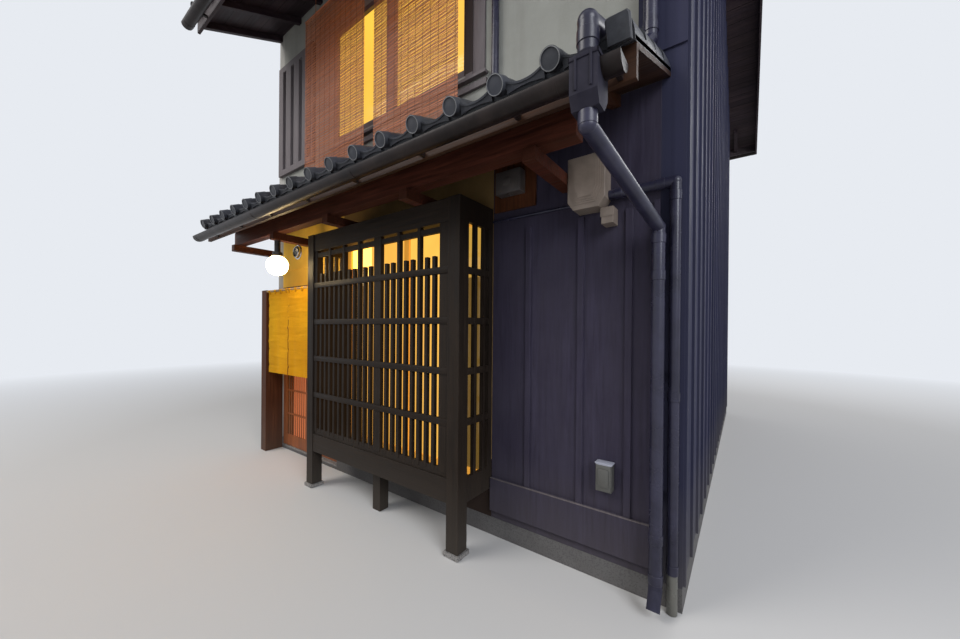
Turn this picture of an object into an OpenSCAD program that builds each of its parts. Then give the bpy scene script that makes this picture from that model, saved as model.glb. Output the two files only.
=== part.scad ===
// End house of a row: a two-storey timber townhouse with a lattice bay and a tiled pent roof.
// X runs along the front, Y runs into the house, Z is up. Sizes are in millimetres.
// Inside the modules, x = 0 is the free side wall's face and y = 0 is the front wall's face.

/* [House] */
// Width of the front, from the party wall's outer face to the free side wall's face
front_w = 4500; // [4300:10:4900]
// Depth from the front wall's face to the rear wall's face
house_d = 5900; // [5400:50:6600]
// Thickness of the outer walls
wall_t = 120; // [110:5:150]
// Height of the concrete footing
footing_h = 130; // [110:5:160]
// Thickness of the ground slab
slab_h = 30; // [20:1:38]
// Height of the upper floor's underside
floor_z = 2700; // [2600:10:2740]
// Thickness of the upper floor
floor_t = 110; // [60:5:120]
// Height of the wall tops at the front and rear faces
wall_top = 5170; // [5050:10:5400]

/* [Main roof] */
// Rise of the main roof for each unit of run
main_pitch = 0.45; // [0.35:0.01:0.5]
// Overhang of the front eave
eave_out = 870; // [750:10:950]
// Overhang of the rear eave
rear_out = 450; // [350:10:700]
// Overhang of the roof past the free side wall
verge_out = 410; // [300:10:500]
// Thickness of the roof boards
deck_t = 24; // [18:1:36]
// Depth of the rafters, measured upright
rafter_h = 70; // [50:5:90]
// Width of the rafters
rafter_w = 50; // [40:5:60]
// Spacing of the rafters
rafter_gap = 455; // [380:5:500]
// Depth of the boards along the eaves
fascia_h = 110; // [104:2:130]
// Depth of the barge board
barge_h = 170; // [140:5:200]
// Thickness of the barge board and of the boards along the eaves
barge_t = 26; // [18:1:35]

/* [Tiles] */
// Spacing of the tile rolls
tile_pitch = 268; // [255:1:290]
// Radius of the tile rolls and of the round end tiles
roll_r = 46; // [40:1:52]
// Thickness of the tiles and their bed between the rolls
pan_t = 60; // [45:1:70]
// Length of the round end tiles
end_len = 40; // [30:5:50]
// How far the tiles reach past the roof boards
tile_out = 20; // [10:5:30]
// Height of the ridge over the roof boards
ridge_h = 300; // [240:5:360]
// Width of the ridge
ridge_w = 240; // [220:5:280]

/* [Pent roof] */
// Run of the pent roof's boards in front of the wall
low_out = 760; // [700:10:800]
// Height of the boards' underside at the pent roof's front edge
low_z = 2553; // [2530:1:2580]
// Rise of the pent roof for each unit of run
low_pitch = 0.42; // [0.38:0.01:0.44]
// Distance from the free side wall's face to the pent roof's end
low_inset = 78; // [70:1:78]
// Distance from the free side wall's face to the first tile roll
roll_inset = 125; // [125:1:135]
// Distance from the wall's face to the front of the beam under the rafters
eave_beam_y = 500; // [485:5:520]
// Width of that beam
eave_beam_w = 90; // [70:5:95]
// Height of the underside of that beam
eave_beam_z = 2445; // [2435:1:2455]
// Depth of the arms that carry the beam
arm_h = 72; // [60:2:80]
// Width of the arms
arm_w = 75; // [60:5:80]
// Length of the arms
arm_len = 536; // [530:1:560]
// Distance of the first arm's middle from the free side wall's face
arm_first = 650; // [645:1:655]
// Spacing of the arms
arm_gap = 950; // [945:1:952]

/* [Rainwater] */
// Outer radius of the half-round gutters
gutter_r = 52; // [45:1:56]
// Wall of the gutters
gutter_t = 4; // [3:0.5:6]
// Distance from the edge of the roof boards to a gutter's middle
gutter_off = 90; // [86:1:100]
// Drop from the underside of the roof boards to a gutter's rim
gutter_drop = 78; // [70:1:79]
// Outer radius of the downpipe
pipe_r = 33; // [28:1:35]
// Outer radius of the pipe that lies on the pent roof
cross_r = 38; // [30:1:40]
// Outer radius of the straight pipe on the upper wall
drop_r = 27; // [22:1:30]
// Outer radius of the corner conduit
conduit_r = 27; // [22:1:28]
// Distance of the hopper head's middle from the free side wall's face
hopper_x = 222; // [218:1:226]
// Width of the hopper head
hopper_w = 105; // [95:1:115]
// Distance of the downpipe's axis from the free side wall's face
pipe_x = 115; // [110:1:118]
// Distance of the downpipe's axis from the front wall's face
pipe_y = 88; // [80:1:95]
// Distance of the corner conduit's axis from the free side wall's face
conduit_x = 45; // [40:1:50]

/* [Electric meter] */
// Distance of the electric meter's middle from the free side wall's face
meter_x = 497.5; // [490:0.5:505]
// Width of the meter
meter_w = 219; // [200:1:230]
// Height of the meter's lower edge
meter_z = 2210; // [2205:1:2225]
// Height of the meter
meter_h = 310; // [290:5:330]
// Depth of the meter
meter_d = 120; // [100:5:140]

/* [Panel wall] */
// Width of the panelled wall beside the bay
panel_w = 1220; // [1210:2:1240]
// Width of the cover battens
batten_w = 40; // [36:2:50]
// How far the battens stand out
batten_t = 14; // [10:1:20]
// Spacing of the cover battens
batten_gap = 318; // [310:1:322]
// Height of the skirting board's lower edge
skirt_z = 190; // [180:2:200]
// Depth of the skirting board
skirt_h = 233; // [200:1:250]
// Thickness of the skirting board
skirt_t = 28; // [20:1:35]

/* [Bay] */
// Width of the bay over its posts
bay_w = 1861; // [1800:1:1900]
// How far the bay stands out from the wall
bay_out = 390; // [370:5:405]
// Side of the bay's square posts
bay_post = 100; // [90:1:105]
// Height of the stone pads under the posts
stone_h = 30; // [20:1:40]
// Height of the header's lower edge
header_z = 2215; // [2205:1:2240]
// Height of the sill rail's lower edge
rail_z = 342; // [320:1:360]
// Depth of the sill rail
rail_h = 164; // [150:1:175]
// Height of the lattice's foot over the rail
lattice_foot = 26; // [20:1:36]
// Width of the lattice bars
bar_w = 30; // [26:1:34]
// Width of the short bars between them
short_w = 28; // [22:1:32]
// Depth of the lattice bars
bar_d = 34; // [28:1:36]
// Width of the lattice's right stile
stile_right = 85; // [75:1:95]
// Width of the lattice's middle stile
stile_mid = 85; // [75:1:95]
// Height of the lowest cross batten's middle
cross_z = 875; // [865:1:885]
// Spacing of the cross battens
cross_gap = 340; // [334:1:342]
// Depth of the cross battens' faces
cross_h = 26; // [20:1:32]
// Height of the short bars' tops
short_top = 2000; // [1970:1:2030]
// Height of the lattice's top rail's lower edge
top_rail_z = 2155; // [2140:1:2165]
// Depth of the lattice's top rail
top_rail_h = 40; // [30:1:45]
// Height of the bay window's lower edge
bay_sill_z = 380; // [370:5:400]
// Height of the bay window's upper edge
bay_head_z = 2340; // [2300:5:2400]

/* [Entrance] */
// Height of the door sill's top
sill_z = 45; // [40:1:50]
// Height of the door leaves
leaf_h = 1850; // [1800:5:1860]
// Thickness of the door leaves
leaf_t = 28; // [26:1:32]
// How far the two leaves overlap when closed
leaf_lap = 55; // [50:1:70]
// Width of the leaves' stiles
stile_w = 100; // [80:1:110]
// Height of the leaves' kick board
kick_h = 134; // [120:2:160]
// Spacing of the leaves' upright bars
leaf_gap = 44; // [36:1:50]
// Running clearance of the sliding leaf
door_gap = 6; // [5.5:0.5:8]
// Width of the post between entrance and bay
wall_post_w = 110; // [100:2:120]
// Depth of the door's head beam
head_h = 90; // [80:5:100]
// Height of the rail across the plaster over the entrance
lintel_rail_z = 2196; // [2150:1:2230]
// Depth of that rail
lintel_rail_h = 26; // [20:1:35]
// How far the post at the party wall stands out
post_out = 200; // [198:2:215]
// Height of that post
post_h = 1950; // [1946:2:1990]
// Width of one noren cloth
noren_w = 468; // [430:1:480]
// Drop of the noren
noren_drop = 955; // [900:5:1000]
// Thickness that the noren's folds take up
noren_t = 14; // [8:1:20]
// Height of the noren rod's axis
rod_z = 1932; // [1925:1:1934]
// Radius of the noren rod
rod_r = 12; // [9:0.5:12]
// Distance of the noren rod's axis from the wall's face
rod_y = 187; // [180:1:188]
// Radius of the globe lamp
globe_r = 100; // [90:1:110]
// Height of the globe lamp's middle
globe_z = 2121; // [2110:1:2130]

/* [Upper floor front] */
// Height of the big window's lower edge
win_z = 3460; // [3420:5:3500]
// Height of the window's upper edge
win_top = 4660; // [4600:10:4760]
// Distance from the free side wall's face to the big window
win_x = 1460; // [1450:5:1480]
// Width of the big window
win_w = 1820; // [1780:10:1860]
// Height of the slatted window's lower edge
lat_z = 3440; // [3400:5:3480]
// Width of the slatted window's opening
lat_w = 670; // [650:10:690]
// Spacing of its slots
lat_pitch = 190; // [180:1:195]
// Width of its slots
slot_w = 70; // [60:1:80]
// Thickness of the slatted panel
lat_t = 40; // [30:1:55]
// Width of the right-hand blind
blind_w = 992; // [985:1:1000]
// Drop of the blinds
blind_drop = 1760; // [1600:10:1800]
// Height of the blinds' lower edges
blind_z = 3100; // [3080:5:3120]
// Gap between the blinds
blind_gap = 135; // [120:1:140]
// Distance of the blinds from the wall's face
blind_y = 130; // [110:5:150]
// Width of the dark corner cladding over the pent roof
corner_w = 241; // [220:1:260]

/* [Hidden] */

// Clearance between pieces that seat on each other
seat = 0.3;
// Thickness of the panes
pane_t = 5;
floor_top = floor_z + floor_t;
ridge_y = house_d / 2;
slope_a = atan(main_pitch);
low_a = atan(low_pitch);
low_back_z = low_z + low_pitch * low_out;
inner_x = -front_w + wall_t;
roof_x0 = -front_w;
roof_w = front_w + verge_out;
roof_n = round(roof_w / tile_pitch);
tile_h = pan_t + roll_r - 8;
low_w = front_w - low_inset;
low_n = floor((front_w - roll_inset - roll_r) / tile_pitch) + 1;
bay_x = -panel_w;
bay_left = bay_x - bay_w;
bay_back = -bay_out + bay_post;
header_top = eave_beam_z - arm_h;
arm_n = floor((front_w - arm_first - arm_w / 2) / arm_gap);
lattice_y = -bay_out + 30;
lattice_z = rail_z + rail_h + lattice_foot;
lattice_w = bay_w - 2 * bay_post;
stile_left = 46;
right_bays = 3;
left_bays = 4;
bay_clear = (lattice_w - stile_right - stile_mid - stile_left - (right_bays + left_bays - 2) * bar_w)
    / (right_bays + left_bays);
bay_win_x = bay_left + 60;
bay_win_w = bay_w - 120;
batten_steps = [0, 0.89, 2.03];
entrance_right = bay_left - wall_post_w;
entrance_w = entrance_right - inner_x;
leaf_w = (entrance_w + leaf_lap - door_gap) / 2;
front_leaf_y = 12;
back_leaf_y = front_leaf_y + leaf_t + 2 * door_gap;
leaf_z = sill_z + door_gap;
head_z = leaf_z + leaf_h + door_gap;
gutter_y = -low_out - gutter_off;
gutter_z = low_z - gutter_drop;
main_gutter_z = wall_top - main_pitch * eave_out - gutter_drop;
rear_gutter_z = wall_top - main_pitch * rear_out - gutter_drop;
lamp_x = -arm_first - 3 * arm_gap;
lamp_y = -478;
slot_n = 4;
rear_w = 1300;
rear_h = 1100;
rear_holes = [
    [-front_w / 2 - rear_w / 2, 1000],
    [-wall_t - 400 - rear_w, win_z],
    [inner_x + 400, win_z]
];

// Moves to the free side wall's front corner, where the measuring starts
module at_corner() {
    translate([front_w / 2, -house_d / 2, 0]) children();
}

// A box between two corners
module box(a, b) {
    translate(a) cube(b - a);
}

// An outline in Y and Z, drawn out along X from x0 to x1
module along_x(x0, x1, points) {
    translate([x0, 0, 0]) rotate([90, 0, 90]) linear_extrude(x1 - x0) polygon(points);
}

// Height of the main roof boards' underside at depth y
function main_line(y) = wall_top + main_pitch * min(y, house_d - y);

// Height of the pent roof boards' underside at depth y, which is negative
function low_line(y) = low_z + low_pitch * (y + low_out);

// Gable outline between two depths
function gable(y0, y1, z0) = [
    [y0, z0], [y0, main_line(y0)], [ridge_y, main_line(ridge_y)], [y1, main_line(y1)], [y1, z0]
];

// Top edge of one row of tiles: a flat pan and a round roll in each pitch
function tile_edge(x0, n, pitch, first) = [
    for (i = [0 : n - 1], a = [180 : -30 : 0])
        [x0 + first + i * pitch + roll_r * cos(a), pan_t + (tile_h - pan_t) * sin(a)]
];

// A field of tiles that slopes up along Y from the origin, with round end tiles along its eave
module tile_field(x0, w, first, n, pitch, len, angle) {
    edge = tile_edge(x0, n, pitch, first);
    rotate([angle, 0, 0]) {
        rotate([90, 0, 0]) translate([0, 0, -len]) linear_extrude(len)
            polygon(concat([[x0, 0], [x0, pan_t]], edge, [[x0 + w, pan_t], [x0 + w, 0]]));
        for (i = [0 : n - 1])
            translate([x0 + first + i * pitch, 0, pan_t - 6]) rotate([90, 0, 0]) cylinder(r = roll_r, h = end_len);
    }
}

// A window frame of two lights with a stile of width mid between them
module window_unit(w, h, frame_w, mid, depth) {
    light = (w - 2 * frame_w - mid) / 2;
    difference() {
        cube([w, depth, h]);
        for (i = [0 : 1])
            translate([frame_w + i * (light + mid), -1, frame_w]) cube([light, depth + 2, h - 2 * frame_w]);
    }
}

// A frame as above, with a slot all round that holds a sheet of glass
module glazed_unit(w, h, frame_w, mid, depth) {
    difference() {
        window_unit(w, h, frame_w, mid, depth);
        translate([15, depth / 2 - pane_t / 2 - seat, 15]) cube([w - 30, pane_t + 2 * seat, h - 30]);
    }
}

// The sheet of glass for that frame
module pane(w, h, depth) {
    translate([15 + seat, depth / 2 - pane_t / 2, 15 + seat]) cube([w - 30 - 2 * seat, pane_t, h - 30 - 2 * seat]);
}

// A pipe of straight lengths with slightly fuller ball joints at the bends
module pipe_run(points, r) {
    for (i = [0 : len(points) - 2]) {
        a = points[i];
        d = points[i + 1] - a;
        translate(a) rotate([0, acos(d[2] / norm(d)), atan2(d[1], d[0])]) cylinder(r = r, h = norm(d));
        if (i > 0) translate(a) sphere(r = r + 1.5);
    }
}

// A half-round gutter along X, with brackets towards the eave board on the side that s gives
module gutter(x0, x1, y, z, s) {
    n = max(1, floor((x1 - x0) / 600));
    translate([x0, y, z]) {
        rotate([90, 0, 90]) difference() {
            cylinder(r = gutter_r, h = x1 - x0);
            translate([0, 0, gutter_t]) cylinder(r = gutter_r - gutter_t, h = x1 - x0 - 2 * gutter_t);
            translate([-2 * gutter_r, 0, -1]) cube([4 * gutter_r, 2 * gutter_r, x1 - x0 + 2]);
        }
        for (i = [0 : n - 1])
            translate([(i + 0.5) * (x1 - x0) / n - 10, s > 0 ? gutter_r - gutter_t : -gutter_off, -24])
                cube([20, gutter_off - gutter_r + gutter_t, 22]);
    }
}

module footing() {
    color("gray") at_corner() {
        box([-front_w, 0, 0], [0, house_d, slab_h]);
        difference() {
            box([-front_w, 0, 0], [0, house_d, footing_h]);
            box([inner_x, wall_t, -1], [-wall_t, house_d - wall_t, footing_h + 1]);
            box([inner_x, -1, -1], [entrance_right, wall_t + 1, footing_h + 1]);
        }
    }
}

module upper_floor() {
    color("burlywood") at_corner()
        box([inner_x, wall_t, floor_z], [-wall_t, house_d - wall_t, floor_top]);
}

// Boarded wall right of the bay, with its cover battens, skirting and corner trim
module panel_wall() {
    skirt_top = skirt_z + skirt_h;
    color("slategray") at_corner() {
        box([bay_x, 0, footing_h], [-wall_t, wall_t, low_back_z]);
        box([bay_x + 5, -skirt_t, skirt_z], [-wall_t - 30, 0, skirt_top]);
        for (k = batten_steps)
            translate([-wall_t - 141 - batten_w - k * batten_gap, -batten_t, skirt_top])
                cube([batten_w, batten_t, header_z - 16 - skirt_top]);
        box([-wall_t - 30, -batten_t - 8, footing_h], [-wall_t, 0, header_z]);
    }
}

// Free side wall with its upright ribs and the cladding that wraps onto the front
module side_wall() {
    rib_n = floor((house_d - 60) / batten_gap);
    color("darkslateblue") at_corner() {
        along_x(-wall_t, 0, gable(0, house_d, footing_h));
        intersection() {
            along_x(-1, batten_t, gable(0, house_d, footing_h + 10));
            for (i = [0 : rib_n])
                translate([-1, 10 + i * batten_gap, 0]) cube([batten_t + 1, 40, 3 * floor_z]);
        }
        box([-corner_w, -12, low_back_z + deck_t + tile_h + 32], [0, 0, wall_top - rafter_h - 20]);
    }
}

module party_wall() {
    color("tan") at_corner()
        along_x(-front_w, inner_x, gable(0, house_d, footing_h));
}

module rear_wall() {
    y0 = house_d - wall_t;
    color("darkslateblue") at_corner() difference() {
        along_x(inner_x, -wall_t, [
            [y0, footing_h], [y0, main_line(y0)], [house_d, main_line(house_d)], [house_d, footing_h]
        ]);
        for (p = rear_holes)
            translate([p[0], y0 - 10, p[1]]) cube([rear_w, wall_t + 20, rear_h]);
    }
}

module rear_window_frames() {
    color("dimgray") at_corner()
        for (p = rear_holes)
            translate([p[0], house_d - 70, p[1]]) glazed_unit(rear_w, rear_h, 45, 50, 60);
}

module rear_glass() {
    color("lightblue") at_corner()
        for (p = rear_holes)
            translate([p[0], house_d - 70, p[1]]) pane(rear_w, rear_h, 60);
}

// Wall behind the bay, around its wide window
module bay_back_wall() {
    color("tan") at_corner() difference() {
        box([bay_left, 0, footing_h], [bay_x, wall_t, low_back_z]);
        box([bay_win_x, -1, bay_sill_z], [bay_win_x + bay_win_w, wall_t + 1, bay_head_z]);
    }
}

module bay_window_frame() {
    color("saddlebrown") at_corner()
        translate([bay_win_x, 10, bay_sill_z]) glazed_unit(bay_win_w, bay_head_z - bay_sill_z, 48, 60, 50);
}

// Panes of the bay window and of the fixed door leaf
module lower_front_glass() {
    color("gold") at_corner() {
        translate([bay_win_x, 10, bay_sill_z]) pane(bay_win_w, bay_head_z - bay_sill_z, 50);
        translate([entrance_right - leaf_w, back_leaf_y, sill_z]) leaf_pane(head_z - sill_z);
    }
}

// Two front posts and the small post under the middle of the bay's floor
module bay_posts() {
    color("darkslategray") at_corner() {
        for (x = [bay_left, bay_x - bay_post])
            box([x, -bay_out, stone_h], [x + bay_post, bay_back, header_top]);
        box([-2210, bay_back, 0], [-2120, bay_back + 90, rail_z]);
    }
}

module post_stones() {
    color("silver") at_corner()
        for (x = [bay_left, bay_x - bay_post])
            box([x - 15, -bay_out - 15, 0], [x + bay_post + 15, bay_back + 15, stone_h]);
}

// Header over the lattice, rail under it, and the boards that close the bay at its floor and top
module bay_rails() {
    x0 = bay_left + bay_post;
    x1 = bay_x - bay_post;
    color("darkslategray") at_corner() {
        box([x0, -bay_out + 8, header_z], [x1, -bay_out + 80, header_top]);
        box([x0, -bay_out + 6, rail_z], [x1, bay_back, rail_z + rail_h]);
        box([bay_left + 32, bay_back, rail_z], [bay_x - 32, 0, rail_z + 22]);
        box([x0, -bay_out + 80, header_top - 30], [x1, 0, header_top - 12]);
    }
}

// One bay of the lattice, left of x: two short bars between full ones
module short_bars(x) {
    gap = (bay_clear - 2 * short_w) / 3;
    for (i = [0 : 1])
        translate([x - (i + 1) * (gap + short_w), lattice_y - bar_d / 2 + 2, lattice_z])
            cube([short_w, bar_d - 4, short_top - lattice_z]);
}

// Left edge of lattice bay i, counted from the right post
function bay_edge(i) = bay_x - bay_post - stile_right - (i + 1) * bay_clear - i * bar_w
    - (i >= right_bays ? stile_mid - bar_w : 0);

// The lattice in front of the bay, of upright bars and cross battens
module bay_lattice_front() {
    x0 = bay_left + bay_post;
    x1 = bay_x - bay_post;
    y0 = lattice_y - bar_d / 2;
    bays = right_bays + left_bays;
    color("darkslategray") at_corner() {
        box([x1 - stile_right, y0, lattice_z], [x1, y0 + bar_d, header_z]);
        box([x0, y0, lattice_z], [x0 + stile_left, y0 + bar_d, header_z]);
        for (i = [0 : bays - 1]) {
            w = i == right_bays - 1 ? stile_mid : bar_w;
            short_bars(bay_edge(i) + bay_clear);
            if (i < bays - 1) box([bay_edge(i) - w, y0, lattice_z], [bay_edge(i), y0 + bar_d, header_z]);
        }
        for (k = [0 : 3])
            box([x0, y0 - 6, cross_z + k * cross_gap - cross_h / 2],
                [x1, y0 + bar_d - 12, cross_z + k * cross_gap + cross_h / 2]);
        box([x0, y0 + 4, lattice_z - lattice_foot], [x1, y0 + bar_d - 4, lattice_z + 30]);
        box([x0, y0 + 4, top_rail_z], [x1, y0 + bar_d - 4, top_rail_z + top_rail_h]);
    }
}

// Narrow lattices at the two ends of the bay
module bay_lattice_sides() {
    color("darkslategray") at_corner()
        for (x = [bay_x - 32, bay_left + 2]) {
            for (y = [bay_back + 71, bay_back + 175])
                box([x, y, rail_z + rail_h - 10], [x + 30, y + bar_w, header_z + 10]);
            box([x, -50, rail_z], [x + 30, 0, header_top]);
            for (k = [0 : 3])
                box([x + 3, bay_back, cross_z + k * cross_gap - cross_h / 2],
                    [x + 27, -40, cross_z + k * cross_gap + cross_h / 2]);
            box([x, bay_back, rail_z], [x + 30, -40, rail_z + rail_h]);
            box([x, bay_back, header_z], [x + 30, -40, header_top]);
        }
}

// Plaster over the entrance, with a rail across it
module entrance_lintel() {
    color("wheat") at_corner() {
        box([inner_x, 0, head_z + head_h], [bay_left, wall_t, low_back_z]);
        box([inner_x, -12, lintel_rail_z], [bay_left, 0, lintel_rail_z + lintel_rail_h]);
    }
}

// Post at the party wall and the post between door and bay
module entrance_posts() {
    color("sienna") at_corner() {
        box([-front_w, -post_out, 0], [inner_x, 0, post_h]);
        box([entrance_right, 0, footing_h], [bay_left, wall_t, head_z + head_h]);
    }
}

module door_sill() {
    color("gray") at_corner()
        box([inner_x, 0, slab_h], [entrance_right, wall_t, sill_z]);
}

module door_head() {
    color("saddlebrown") at_corner()
        box([inner_x, 0, head_z], [entrance_right, wall_t, head_z + head_h]);
}

// A door leaf of stiles and rails, with thin upright bars and rails in front of its pane
module leaf(h) {
    clear_w = leaf_w - 2 * stile_w;
    clear_h = h - kick_h - 70;
    n = floor(clear_w / leaf_gap) - 1;
    difference() {
        cube([leaf_w, leaf_t, h]);
        translate([stile_w, -1, kick_h]) cube([clear_w, leaf_t + 2, clear_h]);
        translate([stile_w - 8, leaf_t - 8 - pane_t - seat, kick_h - 8])
            cube([clear_w + 16, pane_t + 2 * seat, clear_h + 16]);
    }
    for (i = [1 : n])
        translate([stile_w + i * clear_w / (n + 1) - 7, 3, kick_h - 1]) cube([14, 9, clear_h + 2]);
    for (k = [1 : 5])
        translate([stile_w - 1, 2, 90 + k * 290]) cube([clear_w + 2, 11, 20]);
}

// The pane of a door leaf
module leaf_pane(h) {
    translate([stile_w - 8 + seat, leaf_t - 8 - pane_t, kick_h - 8 + seat])
        cube([leaf_w - 2 * stile_w + 16 - 2 * seat, pane_t, h - kick_h - 54 - 2 * seat]);
}

// The sliding leaf stands on two shoes that run on the sill
module entrance_door() {
    color("chocolate") at_corner() translate([inner_x + door_gap, front_leaf_y, leaf_z]) {
        leaf(leaf_h);
        for (x = [70, leaf_w - 130])
            translate([x, leaf_t / 2 - 4, seat - door_gap]) cube([60, 8, door_gap]);
    }
}

module entrance_door_glass() {
    color("orange") at_corner() translate([inner_x + door_gap, front_leaf_y, leaf_z]) leaf_pane(leaf_h);
}

module side_leaf() {
    color("chocolate") at_corner()
        translate([entrance_right - leaf_w, back_leaf_y, sill_z]) leaf(head_z - sill_z);
}

module noren_rod() {
    color("peru") at_corner()
        translate([inner_x + seat, -rod_y, rod_z]) rotate([0, 90, 0])
            cylinder(r = rod_r, h = bay_left + 2 - inner_x - 2 * seat);
}

module noren() {
    color("khaki") at_corner()
        for (i = [0 : 1])
            translate([inner_x + 42 + i * (noren_w + 10), -rod_y - noren_t / 2, rod_z - rod_r - seat - noren_drop])
                cube([noren_w, noren_t, noren_drop]);
}

module globe_lamp() {
    color("ivory") at_corner()
        translate([lamp_x, lamp_y, globe_z]) sphere(r = globe_r);
}

// Neck and rose between the globe and the arm above it
module lamp_holder() {
    z0 = globe_z + globe_r + seat;
    color("dimgray") at_corner() translate([lamp_x, lamp_y, 0]) {
        translate([0, 0, z0]) cylinder(r = 28, h = header_top - z0);
        translate([0, 0, z0]) cylinder(r = 45, h = 30);
    }
}

// Beam under the pent roof's rafters, on arms that reach out of the wall
module eave_beam() {
    top = low_line(-eave_beam_y) - rafter_h;
    color("saddlebrown") at_corner() {
        box([-front_w, -eave_beam_y, eave_beam_z], [-408, -eave_beam_y + eave_beam_w, top]);
        for (i = [0 : arm_n])
            translate([-arm_first - i * arm_gap - arm_w / 2, -arm_len, header_top]) cube([arm_w, arm_len, arm_h]);
    }
}

module pent_rafters() {
    n = floor((front_w - low_inset - 60) / rafter_gap);
    y0 = -low_out + barge_t;
    color("saddlebrown") at_corner()
        for (i = [0 : n])
            translate([-front_w + 20 + i * rafter_gap, 0, 0])
                along_x(0, rafter_w, [
                    [y0, low_line(y0) - rafter_h], [y0, low_line(y0)], [0, low_line(0)], [0, low_line(0) - rafter_h]
                ]);
}

// Boards of the pent roof and the board along its eave
module pent_roof_boards() {
    y0 = -low_out;
    color("peru") at_corner()
        along_x(-front_w, -low_inset, [
            [y0, low_z - fascia_h], [y0, low_z + deck_t], [0, low_back_z + deck_t], [0, low_back_z],
            [y0 + barge_t, low_line(y0 + barge_t)], [y0 + barge_t, low_z - fascia_h]
        ]);
}

module pent_roof_tiles() {
    color("dimgray") at_corner()
        translate([0, -low_out - tile_out, low_z + deck_t + seat - tile_out * low_pitch])
            tile_field(-front_w, low_w, front_w - roll_inset - (low_n - 1) * tile_pitch, low_n,
                tile_pitch, (low_out + tile_out) / cos(low_a), low_a);
}

module pent_gutter() {
    color("darkslategray") at_corner() {
        gutter(-front_w, -hopper_x - hopper_w / 2 - seat, gutter_y, gutter_z, 1);
        gutter(-hopper_x + hopper_w / 2 + seat, -98, gutter_y, gutter_z, 1);
    }
}

// Box that takes the gutter and the pipe off the roof
module hopper_head() {
    color("darkslateblue") at_corner()
        translate([-hopper_x - hopper_w / 2, gutter_y, gutter_z]) {
            rotate([90, 0, 90]) linear_extrude(hopper_w) polygon([
                [-72, 25], [-72, -115], [-48, -165], [12, -165], [48, -115], [48, 25]
            ]);
            translate([hopper_w / 2, -20, 25]) cylinder(r = cross_r + 8, h = 18);
        }
}

// Pipe off the main gutter, down the corner, over the pent roof and into the hopper head
module cross_pipe() {
    lie = deck_t + (pan_t + 8 + cross_r) / cos(low_a);
    wall_y = -cross_r - 14;
    x1 = -hopper_x - 2;
    y0 = -eave_out - gutter_off;
    y1 = gutter_y - 20;
    z0 = main_gutter_z - gutter_r;
    color("darkslateblue") at_corner()
        pipe_run([
            [-170, y0, z0 - seat], [-170, y0, z0 - 130], [-170, wall_y, z0 - 420],
            [-170, wall_y, low_line(wall_y) + lie + 90], [x1, -150, low_line(-150) + lie],
            [x1, y1, low_line(y1) + lie], [x1, y1, gutter_z + 43 + seat]
        ], cross_r);
}

// Downpipe with its wall clips and shoe
module downpipe() {
    y0 = gutter_y - 18;
    color("darkslateblue") at_corner() {
        pipe_run([
            [-hopper_x, y0, gutter_z - 165 - seat], [-hopper_x, y0, gutter_z - 215],
            [-pipe_x, -pipe_y, gutter_z - 430], [-pipe_x, -pipe_y, 130], [-pipe_x, -pipe_y - 60, 50]
        ], pipe_r);
        for (z = [600, 1250, 1900])
            box([-pipe_x - 4, -pipe_y, z], [-pipe_x + 20, 0, z + 30]);
    }
}

// Corner conduit up to the meter, the thin pipe beside it and the pipe beside the upper window
module wall_pipes() {
    y = -conduit_r - 2;
    bend_z = meter_z + 80;
    drop_z = low_line(0) + deck_t + tile_h / cos(low_a) + 40;
    color("darkslateblue") at_corner() {
        pipe_run([
            [-conduit_x, y, 0], [-conduit_x, y, bend_z], [-meter_x + meter_w / 2 + seat, y, bend_z]
        ], conduit_r);
        translate([bay_x + 5, -9 - seat, bend_z - 13]) rotate([0, 90, 0])
            cylinder(r = 9, h = -meter_x - meter_w / 2 - seat - bay_x - 5);
        translate([-1200, -drop_r - seat, drop_z]) cylinder(r = drop_r, h = main_line(-2 * drop_r) - 20 - drop_z);
    }
}

// Brown board on the wall with its switch box
module meter_board() {
    color("brown") at_corner() {
        box([-1200, -20, 2336], [-873, 0, 2720]);
        box([-1140, -95, 2430], [-950, -20, 2580]);
    }
}

// Electric meter, the small box under it and the outlet box low on the wall
module electric_boxes() {
    half = meter_w / 2;
    color("beige") at_corner() {
        translate([-meter_x, 0, meter_z]) rotate([90, 0, 0]) linear_extrude(meter_d)
            polygon([
                [34.5 - half, 0], [-half, 50], [-half, meter_h], [half, meter_h], [half, 50], [half - 34.5, 0]
            ]);
        box([-meter_x + 83.5, -95, meter_z - 100], [-meter_x + 151.5, 0, meter_z - 5]);
        box([-445, -55, 556], [-354, 0, 720]);
    }
}

// Upper front wall around the big window and the slatted window
module upper_front_wall() {
    z0 = low_back_z;
    color("lightgray") at_corner() difference() {
        along_x(inner_x, -wall_t, [[0, z0], [0, main_line(0)], [wall_t, main_line(wall_t)], [wall_t, z0]]);
        translate([-win_x - win_w, -10, win_z]) cube([win_w, wall_t + 20, win_top - win_z]);
        translate([inner_x + 30, -10, lat_z]) cube([lat_w, wall_t + 20, win_top - lat_z]);
    }
}

// Window frame with its sill boards and the trim beside it
module upper_window_frame() {
    x0 = -win_x - win_w;
    color("saddlebrown") at_corner() {
        translate([x0, 0, win_z]) glazed_unit(win_w, win_top - win_z, 50, 120, 70);
        box([x0 - 20, -40, win_z - 72], [-win_x + 180, 0, win_z - 50]);
        box([x0 - 20, -25, win_z - 150], [-win_x + 180, 0, win_z - 105]);
        box([-win_x - 20, -18, win_z - 50], [-win_x + 48, 0, win_top + 40]);
    }
}

module upper_front_glass() {
    color("gold") at_corner()
        translate([-win_x - win_w, 0, win_z]) pane(win_w, win_top - win_z, 70);
}

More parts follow.
